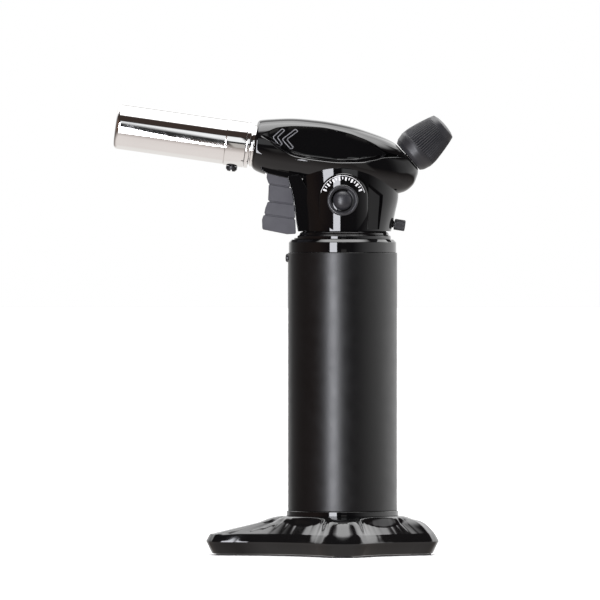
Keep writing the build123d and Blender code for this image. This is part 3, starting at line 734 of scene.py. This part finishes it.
# Printed scale: a fine arc and a row of ticks inside it, alternately wide and narrow, in degrees of the arc.
ARC_IN, ARC_OUT, ARC_FROM, ARC_TO = 9.75, 9.95, 14, 166
TICKS, TICK_FROM, TICK_SPAN, TICK_OUT = 15, 24, 132, 9.3
TICK_KINDS = [(5.0, 7.7), (3.0, 8.2)]  # width in degrees, inner radius
PRINT_LIFTS = (0.05, -0.03)  # depths of the print's back and front from the panel's face


def legend():
    """Printed scale over the button."""
    verts, faces = [], []

    def patch(r0, r1, a0, a1, steps):
        """Curved strip between two radii and two angles."""
        base = len(verts)
        for k in range(steps + 1):
            t = radians(a0 + (a1 - a0) * k / steps)
            for r in (r0, r1):
                x = r * cos(t)
                for lift in PRINT_LIFTS:
                    verts.append((x, panel_face(x) + lift, PANEL_Z + r * sin(t)))
        for k in range(steps):
            a, b = base + 4 * k, base + 4 * (k + 1)
            for p, q in ((0, 1), (1, 3), (3, 2), (2, 0)):
                faces.append((a + p, a + q, b + q, b + p))
        faces.append((base, base + 2, base + 3, base + 1))
        end = base + 4 * steps
        faces.append((end, end + 1, end + 3, end + 2))

    patch(ARC_IN, ARC_OUT, ARC_FROM, ARC_TO, 60)
    for k in range(TICKS):
        centre = TICK_FROM + TICK_SPAN * k / (TICKS - 1)
        wide, inner = TICK_KINDS[k % 2]
        patch(inner, TICK_OUT, centre - wide / 2, centre + wide / 2, 3)
    return make("button_legend", verts, faces, MAT["print"], smooth=False)


# ---- turned trim
# Outlines are (radius, height) points, with a corner radius where it isn't the usual one.
SEAM = 0.05  # gap that keeps two touching pieces apart
SLEEVE_WALL = 0.9
RING_BORE, CAP_BORE = 14.0, 8.2
FOOT_RING_R, TANK_R = 24.6, 23.0
SLEEVE = [(BODY_R, SLEEVE_Z0, 0.35), (BODY_R, SLEEVE_Z1, 0.35), (BODY_R - SLEEVE_WALL, SLEEVE_Z1),
          (BODY_R - SLEEVE_WALL, SLEEVE_Z0)]
COLLAR = [(COLLAR_R, SLEEVE_Z1 + SEAM, 0.2), (COLLAR_R, COLLAR_TOP - 1.3, 0.5),
          (COLLAR_R - 1.2, COLLAR_TOP, 0.4), (RING_BORE, COLLAR_TOP), (RING_BORE, 128.4),
          (TANK_R, 128.4), (TANK_R, SLEEVE_Z1 + SEAM)]
NECK_RING = [(RING_BORE, COLLAR_TOP), (21.3, COLLAR_TOP), (21.3, 140.2, 0.5), (20.5, 140.7, 0.4),
             (20.2, 141.6, 0.5), (19.0, NECK_Z, 0.3), (RING_BORE, NECK_Z)]
NECK_NOTCH = [(-28, 139.4), (-12, 139.4), (-12, 145), (-28, 145)]
FOOT_RING = [(CAP_BORE, STAND_TOP), (FOOT_RING_R, STAND_TOP, 0.25), (FOOT_RING_R, SLEEVE_Z0, 0.35),
             (TANK_R, SLEEVE_Z0), (TANK_R, 21.5), (CAP_BORE, 21.5)]
BEZEL = [(2.1, 8.8), (5.5, 8.8), (5.5, BEZEL_SEAT + SEAM), (6.8, BEZEL_SEAT + SEAM, 0.1), (6.8, 18.0, 0.5),
         (5.9, 18.4, 0.6), (4.95, 17.5, 0.5), (4.9, 10.0), (2.1, 10.0)]
BUTTON_R, DOME_Z, DOME_RISE = 4.3, 17.0, 2.8
BUTTON_STEM = [(0, 8.0), (2.05, 8.0), (2.05, 14.5), (BUTTON_R, 14.5, 0.3), (BUTTON_R, 16.8, 0.2)]


def build_trim():
    """Body sleeve, rings round the body and neck, and the side button with its bezel."""
    half = TRIGGER_HALF_W + SLOT_GAP
    add(lathe("sleeve", SLEEVE, MAT["satin"], count=192), replaces=["body_sleeve"])
    add(lathe("collar", COLLAR, GLOSS, count=192), replaces=["upper_collar"])
    ring = lathe("neck_seat_ring", NECK_RING, GLOSS, count=192)
    carve(ring, prism("notch", NECK_NOTCH, -half, half, GLOSS, 0.1, 0.1))
    finish_mesh(ring)
    add(ring, replaces=["neck_ring"])
    add(lathe("foot_ring", FOOT_RING, GLOSS, count=192), replaces=["end_cap"])
    bezel = lathe("button_bezel", BEZEL, MAT["bezel"], PRESS, 128, 0.15)
    add(bezel, replaces=["lock_bezel"])
    dome = [(BUTTON_R * cos(t), DOME_Z + DOME_RISE * sin(t), 0)
            for t in np.linspace(0.05, pi / 2 - 0.08, 14)]
    dome.append((0, DOME_Z + DOME_RISE))
    cap = lathe("button_cap", BUTTON_STEM + dome, MAT["button"], PRESS, 128, 0)
    add(cap, "lock_plunger", ["lock_button"])


# ---- flame tube and its fittings
TUBE_R, TUBE_BORE, TUBE_END, TUBE_LIP = 10.0, 9.4, 57.9, 2.0
BAND_R = 10.25  # the band at the tube's rear end
TUBE_REAR = [(TUBE_BORE, 0.05), (BAND_R, 0.05, 0.15), (BAND_R, 8.7, 0.25), (TUBE_R, 9.1, 0.25)]
LIP_R = TUBE_R - TUBE_LIP
TUBE_CURL = [(LIP_R - 0.28, TUBE_END - 0.35, 0), (LIP_R + 0.1, TUBE_END - 0.75, 0),
             (TUBE_BORE - 0.2, TUBE_END - TUBE_LIP, 0.4)]
REAR_RING = [(7.05, -1.9), (BAND_R, -1.9, 0.35), (BAND_R, -0.08, 0.35), (7.05, -0.08)]
SOCKET = [(5.0, -9.0), (8.5, -9.0), (8.5, -3.8), (9.3, -3.8, 0.2), (9.3, -2.5, 0.35), (8.6, -2.5),
          (8.6, -1.9), (6.95, -1.9), (6.95, 0.0), (9.3, 0.0), (9.3, 9.5), (7.6, 9.5), (7.6, 2.0), (5.0, 2.0)]
FIXING_Z = 4.9  # distance of the fixing screw from the tube's rear end
FIXING_SCREW = [(0, 7.6), (1.25, 7.6), (1.25, 10.35), (2.5, 10.35, 0.15), (2.45, 11.6, 0.5),
                (1.6, 12.55, 0.5), (0, 12.6)]
DRIVER_SLOT = [(-3, 11.9), (3, 11.9), (3, 13.2), (-3, 13.2)]
DRIVER_HALF_W = 0.32


def build_burner():
    """Chrome tube with its rolled lip, rear ring, socket and fixing screw."""
    roll = [(TUBE_R - inwards, TUBE_END - back, 0) for inwards, back in quarter(TUBE_LIP, 12)]
    tube = lathe("burner_tube", TUBE_REAR + roll + TUBE_CURL, MAT["chrome"], NOZZLE, 192, 0.1)
    add(tube, replaces=["flame_tube"])
    add(lathe("tube_rear_ring", REAR_RING, MAT["chrome"], NOZZLE, 160), replaces=["tube_ring"])
    socket = lathe("burner_socket", SOCKET, MAT["chrome"], NOZZLE, 160, 0.15)
    add(socket, replaces=["burner_seat"])
    a = radians(TUBE_TILT)
    foot = NOZZLE @ Vector((0, 0, FIXING_Z))
    under = placed(((0, cos(a), -sin(a)), (1, 0, 0), (0, -sin(a), -cos(a))), foot)
    screw = lathe("tube_fixing_screw", FIXING_SCREW, MAT["dark_steel"], under, 48, 0.1)
    carve(screw, prism("slot", DRIVER_SLOT, -DRIVER_HALF_W, DRIVER_HALF_W, MAT["dark_steel"], 0, 0.02, under))
    finish_mesh(screw)
    add(screw, replaces=["tube_screw"])


# ---- knobs
KNOB_R, KNOB_RIBS = 9.5, 54
RIBS_Z0, RIBS_Z1 = 1.4, 14.2
RIB_DEPTH, RIB_POWER, RIB_FADE = 0.5, 0.8, 0.8
RIB_STEPS = 8  # columns of the mesh to one rib
KNOB_BORE = [(0, 8.1), (2.02, 8.1), (2.02, -4.2), (7.7, -4.2, 0.6)]
KNOB_SKIRT = [(8.75, -2.6, 2.0), (KNOB_R, 0.4, 2.0), (KNOB_R, 1.3, 0)]
# Flank of the gas knob: height, radius.
KNOB_FLANK = [(1.3, KNOB_R), (3.3, 9.4), (6.6, 8.85), (10.0, 8.1), (13.5, 7.2), (15.4, 6.6)]
KNOB_CROWN = [(6.3, 16.2, 0.5), (4.2, 16.9, 0.8), (2.0, 17.2, 0.5), (0, 17.28)]
AIR_BORE = [(0, 2.6), (1.0, 2.6), (1.0, 0.15), (2.3, 0.15, 0.1)]
AIR_KNOB_R, AIR_END = 2.45, [(2.2, 5.0, 0.2), (0, 5.0)]
AIR_RIBS_Z0, AIR_RIBS_Z1, AIR_RIB_FADE, AIR_RIB_DEPTH = 0.3, 4.7, 0.3, 0.16


def build_knobs():
    """Ribbed gas knob and the small knob at the rear of the neck."""

    def fluting(a, r, z):
        if z < RIBS_Z0 or z > RIBS_Z1 or r < KNOB_R / 2:
            return 0.0
        fade = ease((z - RIBS_Z0) / RIB_FADE) * ease((RIBS_Z1 - z) / RIB_FADE)
        wave = abs(sin(KNOB_RIBS * a / 2))
        return -RIB_DEPTH * (1 - wave ** RIB_POWER) * fade * (r / KNOB_R)

    def small_ribs(a, r, z):
        if r < 1.8:
            return 0.0
        fade = ease((z - AIR_RIBS_Z0) / AIR_RIB_FADE) * ease((AIR_RIBS_Z1 - z) / AIR_RIB_FADE)
        return -AIR_RIB_DEPTH * (1 - abs(sin(10 * a))) * fade

    heights = np.linspace(1.5, KNOB_FLANK[-1][0], 26)
    radii = smooth_keys([z for z, _ in KNOB_FLANK], [r for _, r in KNOB_FLANK], heights)[:, 0]
    flank = [(float(r), float(z), 0) for r, z in zip(radii, heights)]
    knob = lathe("gas_control_knob", KNOB_BORE + KNOB_SKIRT + flank + KNOB_CROWN, MAT["knob"],
                 KNOB, KNOB_RIBS * RIB_STEPS, 0.2, fluting)
    add(knob, "gas_control", ["gas_knob"])
    steps = [(AIR_KNOB_R, z, 0) for z in (0.5, 0.8, 1.2, 4.0, 4.3, 4.6)]
    air = lathe("air_control_knob", AIR_BORE + steps + AIR_END, MAT["knob"], AIR, 160, 0.1, small_ribs)
    add(air, "air_control", ["air_knob"])


# ---- trigger
# Blade of the trigger in side view: four steps on a narrower core.
TRIGGER_STEPS = [
    [(-32.9, 170.2, 0.7), (-33.4, 165.8), (-32.55, 163.35, 0.7), (-22.7, 161.75), (-24.4, 168.3)],
    [(-32.45, 162.9, 0.7), (-32.55, 159.2), (-32.75, 155.8, 0.7), (-21.25, 154.25), (-22.55, 161.3)],
    [(-32.85, 155.3, 0.7), (-33.9, 152.6), (-34.45, 149.95, 0.7), (-20.8, 148.0), (-21.15, 153.8)],
    [(-34.7, 149.45, 0.7), (-35.4, 147.4, 1.0), (-35.25, 143.2, 0.9), (-24.4, 141.05, 2.0), (-20.5, 141.25),
     (-20.75, 147.55)],
]
TRIGGER_CORE = [(-32.2, 167.2), (-32.1, 155.5), (-33.9, 150.4), (-34.4, 148.6), (-34.9, 146.0),
                (-34.6, 143.8), (-24.4, 141.7), (-21.0, 141.8), (-21.4, 154.6), (-24.2, 165.0)]
CORE_INSET = 0.5
# Block behind the blade, along the pull: its end, length and half sizes.
BLOCK_X, BLOCK_Z = -15.0, 153.5
BLOCK_LENGTH, BLOCK_HALF_H, BLOCK_HALF_W = 6.2, 3.3, 4.5


def build_trigger():
    """Stepped blade with the block that pushes the igniter."""
    width = TRIGGER_HALF_W
    parts = [prism("step", step, -width, width, MAT["trigger"], 0.7, 0.22) for step in TRIGGER_STEPS]
    width -= CORE_INSET
    parts.append(prism("core", TRIGGER_CORE, -width, width, MAT["trigger"], 0.5, 0.3))
    a = radians(PULL_TILT)
    block = [(-BLOCK_LENGTH, -BLOCK_HALF_H), (0, -BLOCK_HALF_H), (0, BLOCK_HALF_H),
             (-BLOCK_LENGTH, BLOCK_HALF_H)]
    turned = [(BLOCK_X + x * cos(a) - z * sin(a), BLOCK_Z + x * sin(a) + z * cos(a))
              for x, z in block]
    parts.append(prism("block", turned, -BLOCK_HALF_W, BLOCK_HALF_W, MAT["trigger"], 0.4, 0.3))
    trigger = joined("finger_trigger", parts)
    add(trigger, "trigger_group", ["trigger"])


# ---- stand
# Plan of the stand: arcs through these nodes, from the front tip round one flank to the rear tip.
PLAN_NODES = [(-60.1, 0.0), (-56.0, 12.5), (-27.0, 19.5), (-10.0, 38.0), (0.0, 44.5), (10.0, 38.0),
              (22.0, 22.0), (38.5, 12.2), (42.5, 0.0)]


def arc_through(a, b, c, share):
    """Point on the circle through three points, share 0 at a and 1 at c."""
    a, b, c = complex(*a), complex(*b), complex(*c)
    w = (c - a) / (b - a)
    centre = (b - a) * (w - abs(w) ** 2) / (2j * w.imag) + a
    sweep = np.angle((c - centre) / (a - centre))
    if np.angle((b - centre) / (a - centre)) * sweep < 0:
        sweep -= copysign(2 * pi, sweep)
    p = centre + (a - centre) * np.exp(1j * sweep * share)
    return p.real, p.imag


def plan_table():
    """Reach of the plan against the angle from the rear tip, 0 to pi."""
    flip = [(x, -y) for x, y in PLAN_NODES]
    arcs = [(flip[1], PLAN_NODES[0], PLAN_NODES[1])]
    arcs += [tuple(PLAN_NODES[k:k + 3]) for k in (1, 3, 5)]
    arcs.append((PLAN_NODES[7], PLAN_NODES[8], flip[7]))
    rows = []
    for arc in arcs:
        for share in np.linspace(0.09, 0.91, 9):
            x, y = arc_through(*arc, float(share))
            if y >= -1e-6:
                rows.append((atan2(max(y, 0.0), x), hypot(x, y)))
    rows.sort()
    return [a for a, _ in rows], [r for _, r in rows]


PLAN_ANGLES, PLAN_REACH = plan_table()
PLAN_FINE = np.linspace(0, pi, 721)
PLAN_INSIDE = np.clip(PLAN_FINE, PLAN_ANGLES[0], PLAN_ANGLES[-1])
PLAN_SMOOTH = smooth_keys(PLAN_ANGLES, PLAN_REACH, PLAN_INSIDE)[:, 0]
PLAN_LEAN = np.gradient(PLAN_SMOOTH, PLAN_FINE) / PLAN_SMOOTH
LEAN_LIMIT = 1.5  # most that a slanting edge stretches an inset


def plan_at(angle):
    """Reach of the four-point plan in one direction, and how far it stretches an inset there."""
    turn = abs(atan2(sin(angle), cos(angle)))
    reach = float(np.interp(turn, PLAN_FINE, PLAN_SMOOTH))
    lean = float(np.interp(turn, PLAN_FINE, PLAN_LEAN))
    return reach, sqrt(1 + lean ** 2)


def star_radius(angle, inset):
    """Reach of the four-point plan in one direction, shrunk by inset."""
    reach, stretch = plan_at(angle)
    return reach - inset * min(stretch, LEAN_LIMIT)


STAND_RIM = 9.4  # height of the rim
RIM_INSET = 1.8  # where the top starts, inwards from the plan
RIM_SLOPE = 1.15  # steepness of the top just inside the rim
RIDGE_FALL, FLANK_FALL = 0.24, 0.10
SIDE_START, SIDE_SPAN = 0.06, 0.24  # squared sideways share over which the fall changes
RIM_BLEND = 2.6
STAND_R = 24.7  # radius of the flat seat for the foot ring
NEAR_START = 0.6  # share of the way in from which the top settles to the seat
# Rim from the underside up: inset, height.
STAND_EDGE = [(6.5, 0.6), (3.2, 0.6), (2.7, 0.75), (2.3, 1.4), (0.55, 4.95), (0.3, 5.5), (0.1, 5.85),
              (0.0, 6.05), (0.08, 6.25), (0.25, 6.6), (0.5, 7.05), (1.45, 8.8), (RIM_INSET, 9.3)]
# From the seat through the filling hole and round the hollow underneath: radius, height.
STAND_UNDER = [(STAND_R, STAND_TOP), (9.4, STAND_TOP), (9.0, STAND_TOP - 0.4), (9.0, 1.0), (9.4, 0.6),
               (11.2, 0.6), (11.5, 1.0), (11.5, 14.3), (21.5, 14.3), (21.5, 1.0), (21.9, 0.6)]
STAND_COLUMNS = 480


def soft_min(a, b, blend):
    """Smaller of two heights with a rounded changeover."""
    h = max(0.0, blend - abs(a - b)) / blend
    return min(a, b) - h * h * blend / 4


def stand_top(angle, share):
    """Radius and height of the stand's top: steep just inside the rim, gently falling along each tongue."""
    rim = star_radius(angle, RIM_INSET)
    rho = rim + (STAND_R - rim) * share
    inward = (rim - rho) / plan_at(angle)[1]
    y = sin(angle)
    side = ease((y * y - SIDE_START) / SIDE_SPAN)
    fall = RIDGE_FALL + (FLANK_FALL - RIDGE_FALL) * side
    ridge = STAND_TOP - fall * (rho - STAND_R)
    height = soft_min(STAND_RIM + RIM_SLOPE * inward, ridge, RIM_BLEND)
    near = ease((share - NEAR_START) / (1 - NEAR_START))
    return rho, height + (STAND_TOP - 0.1 - height) * near


def build_stand():
    """Four-point stand, hollow underneath, as rings from the underside over the rim and back down."""
    count = STAND_COLUMNS
    turns = [2 * pi * j / count for j in range(count)]
    rows = [[(star_radius(a, inset), z) for a in turns] for inset, z in STAND_EDGE]
    for share in (0.02, 0.05, 0.1, *np.linspace(0.16, 1.0, 26)):
        rows.append([stand_top(a, share) for a in turns])
    rows += [[point] * count for point in STAND_UNDER]
    verts = [(r * cos(a), r * sin(a), z) for row in rows for a, (r, z) in zip(turns, row)]
    stand = make("four_point_stand", verts, grid_faces(len(rows), count), MAT["stand"], sharp=38)
    add(stand, replaces=["base_stand"])


# ---- carried-over metalwork and internals
CARRIED = {
    "rubber": ["base_feet", "refill_seal", "outlet_gasket"],
    "steel": ["base_screws", "head_screws", "refill_spring", "trigger_spring", "button_spring", "electrode",
              "knob_spindle", "air_spindle"],
    "heat": ["mixing_tube", "flame_holder"],
    "brass": ["refill_valve", "refill_stem", "tank_outlet", "gas_jet", "valve_body"],
    "copper": ["supply_pipe", "jet_pipe"],
    "tin": ["fuel_tank"],
    "nylon": ["dip_tube", "piezo_plunger"],
    "case": ["piezo_body"],
    "ceramic": ["insulator"],
    "lead": ["ignition_lead"],
    "dark_steel": ["sleeve_screw", "air_bush"],
}


def dress_carried():
    """Give each piece that keeps its CAD shape its surface."""
    for key, nodes in CARRIED.items():
        for node in nodes:
            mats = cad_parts[node].data.materials
            if not mats:
                mats.append(MAT[key])
            for i in range(len(mats)):
                mats[i] = MAT[key]


# ---- studio
# Directions in degrees: turn is 0 towards the camera and grows towards +X, rise is 0 level.
# The world multiplies every ..._COLOR by its strength; the other brightnesses are final.
WORLD_STRENGTH = 4.0
OVERHEAD, OVERHEAD_BACK = 6.5, 3.4
# Walls of the room: turn, brightness.
AROUND = [(-180, 1.0), (-152, 0.8), (-135, 0.28), (-112, (0.17, 0.15, 0.14)), (-88, (0.13, 0.095, 0.08)),
          (-55, (0.17, 0.105, 0.075)), (-30, (0.05, 0.03, 0.028)), (-20, 0.02), (22, 0.035), (34, 0.25),
          (50, 0.66), (75, 1.2), (112, 1.9), (145, 1.3), (180, 1.0)]
# Ground in front and beside: rise, brightness.
GROUND = [(-90, (0.80, 0.76, 0.74)), (-49, (0.76, 0.71, 0.69)), (-29, (0.42, 0.38, 0.36)),
          (-14, (0.12, 0.1, 0.09))]
BACK_GROUND_COLOR = (0.21, 0.205, 0.20)
# Bands of turn or rise: from, to, width of the soft edge inside each end.
AHEAD_TURN = (-4.0, 9.0, 2.0)
AHEAD_HIGH, AHEAD_HIGH_COLOR = (3.2, 29.0, 3.0), (0.24, 0.245, 0.25)
AHEAD_LOW, AHEAD_LOW_COLOR = (-24.0, -2.0, 2.5), (0.12, 0.115, 0.11)
DARK_BAND, DARK_COLOR = (24.0, 68.0, 10.0), (0.011, 0.008, 0.007)
BEHIND_BAND, BEHIND_COLOR = (22.0, 52.0, 5.0), (0.20, 0.20, 0.20)
BEYOND = 200.0  # past every rise
STRIP_FAR, STRIP_TURN = 900.0, 19.6
STRIP_WIDTH, STRIP_HEIGHT = 240.0, 830.0
STRIP_MIDDLE = 85.0
STRIP_POWER = 9.7


def build_world():
    """Surroundings by direction: dark in front, bright to the right and behind, a soft light overhead."""
    world = bpy.data.worlds.new("studio")
    bpy.context.scene.world = world
    world.use_nodes = True
    tree = world.node_tree
    nodes, links = tree.nodes, tree.links
    background = nodes["Background"]
    coord = nodes.new("ShaderNodeTexCoord")
    split = nodes.new("ShaderNodeSeparateXYZ")
    links.new(coord.outputs["Generated"], split.inputs[0])

    def feed(socket, value):
        """Give a socket a colour, a number or the output of another node."""
        if isinstance(value, tuple):
            socket.default_value = rgba(value)
        elif isinstance(value, (int, float)):
            socket.default_value = value
        else:
            links.new(value, socket)

    def calc(op, *values):
        """One sum on numbers or outputs."""
        node = nodes.new("ShaderNodeMath")
        node.operation = op
        for socket, value in zip(node.inputs, values):
            feed(socket, value)
        return node.outputs[0]

    def strip_of(angle, full, stops):
        """Colour by an angle that spans full degrees, centred on 0."""
        node = nodes.new("ShaderNodeValToRGB")
        elements = node.color_ramp.elements
        elements.remove(elements[1])
        for i, (at, color) in enumerate(stops):
            place = (at + full / 2) / full
            element = elements.new(place) if i else elements[0]
            element.position = place
            element.color = rgba(color, 1 / WORLD_STRENGTH)
        links.new(calc("ADD", calc("DIVIDE", angle, full), 0.5), node.inputs[0])
        return node.outputs[0]

    def blend(share, a, b):
        """Mix two colours by a share."""
        node = nodes.new("ShaderNodeMix")
        node.data_type = "RGBA"
        links.new(share, node.inputs[0])
        feed(node.inputs[6], a)
        feed(node.inputs[7], b)
        return node.outputs[2]

    def between(value, low, high, soft):
        """Share that is 1 between two angles and fades out over a soft edge inside each."""
        edges = []
        for start, first in ((low, 0.0), (high - soft, 1.0)):
            node = nodes.new("ShaderNodeMapRange")
            node.interpolation_type = "SMOOTHSTEP"
            for name, number in (("From Min", start), ("From Max", start + soft), ("To Min", first),
                                 ("To Max", 1.0 - first)):
                node.inputs[name].default_value = number
            links.new(value, node.inputs["Value"])
            edges.append(node.outputs[0])
        return calc("MULTIPLY", *edges)

    turn = calc("MULTIPLY", calc("ARCTAN2", split.outputs["X"], calc("MULTIPLY", split.outputs["Y"], -1.0)),
                180 / pi)
    rise = calc("MULTIPLY", calc("ARCSINE", split.outputs["Z"]), 180 / pi)
    walls = strip_of(turn, 360.0, AROUND)
    wide = between(turn, -125.0, 123.0, 7.0)
    front = between(turn, -165.0, 160.0, 20.0)
    ahead = between(turn, *AHEAD_TURN)
    behind = between(calc("ABSOLUTE", turn), 160.0, 2 * BEYOND, 10.0)
    ground = blend(front, BACK_GROUND_COLOR, strip_of(rise, 180.0, GROUND))
    room = blend(between(rise, -BEYOND, -8.0, 8.0), walls, ground)
    room = blend(calc("MULTIPLY", ahead, between(rise, *AHEAD_HIGH)), room, AHEAD_HIGH_COLOR)
    room = blend(calc("MULTIPLY", ahead, between(rise, *AHEAD_LOW)), room, AHEAD_LOW_COLOR)
    room = blend(calc("MULTIPLY", between(rise, *DARK_BAND), wide), room, DARK_COLOR)
    away = calc("SUBTRACT", 1.0, wide)
    room = blend(calc("MULTIPLY", between(rise, 14.0, BEYOND, 20.0), away), room,
                 (OVERHEAD_BACK / WORLD_STRENGTH,) * 3)
    room = blend(between(rise, 56.0, BEYOND, 17.0), room, (OVERHEAD / WORLD_STRENGTH,) * 3)
    room = blend(calc("MULTIPLY", behind, between(rise, *BEHIND_BAND)), room, BEHIND_COLOR)
    links.new(room, background.inputs["Color"])
    background.inputs["Strength"].default_value = WORLD_STRENGTH
    backdrop = nodes.new("ShaderNodeBackground")
    backdrop.inputs["Color"].default_value = (1.0, 1.0, 1.0, 1)
    path = nodes.new("ShaderNodeLightPath")
    pick = nodes.new("ShaderNodeMixShader")
    links.new(path.outputs["Is Camera Ray"], pick.inputs[0])
    links.new(background.outputs[0], pick.inputs[1])
    links.new(backdrop.outputs[0], pick.inputs[2])
    links.new(pick.outputs[0], nodes["World Output"].inputs["Surface"])


FLOOR_HALF = 30000


def build_floor():
    """Wide pale floor that the camera sees and reflections don't."""
    mat = shader("pale_floor", (0.92, 0.92, 0.92), 0.6, specular=0.1)[0]
    corners = [(x * FLOOR_HALF, y * FLOOR_HALF, 0) for x, y in ((-1, -1), (1, -1), (1, 1), (-1, 1))]
    floor = make("floor", corners, [(0, 1, 2, 3)], mat)
    floor.visible_glossy = False
    floor.visible_diffuse = False
    floor.visible_shadow = False


def build_lights():
    """Tall narrow softbox in front on the left."""
    data = bpy.data.lights.new("strip_softbox", "AREA")
    data.shape = "RECTANGLE"
    data.size, data.size_y = STRIP_WIDTH * MM, STRIP_HEIGHT * MM
    data.energy = STRIP_POWER
    data.color = (0.93, 0.94, 1.0)
    lamp = linked("strip_softbox", data)
    turn = radians(STRIP_TURN)
    lamp.location = Vector((-STRIP_FAR * sin(turn), -STRIP_FAR * cos(turn), STRIP_MIDDLE)) * MM
    lamp.rotation_euler = (pi / 2, 0, -turn)


CAMERA_FAR, VIEW_WIDTH = 3490.0, 264.0  # distance, and width of what is seen there
CAMERA_X, CAMERA_Z, AIM_Z = -18.7, 120.9, 112.1


def build_camera():
    """Long lens, looking slightly down."""
    data = bpy.data.cameras.new("camera")
    data.sensor_width = 36.0
    data.lens = data.sensor_width * CAMERA_FAR / VIEW_WIDTH
    data.clip_end = 100
    camera = linked("camera", data)
    camera.location = Vector((CAMERA_X, -CAMERA_FAR, CAMERA_Z)) * MM
    drop = atan2(CAMERA_Z - AIM_Z, CAMERA_FAR)
    camera.rotation_euler = (pi / 2 - drop, 0, 0)
    bpy.context.scene.camera = camera


build_camera()
build_world()
build_floor()
build_lights()
build_shells()
chevron_rims()
side_panel()
slot_lips()
build_trim()
build_burner()
build_knobs()
build_trigger()
build_stand()
dress_carried()
bpy.context.scene.view_settings.view_transform = "Standard"
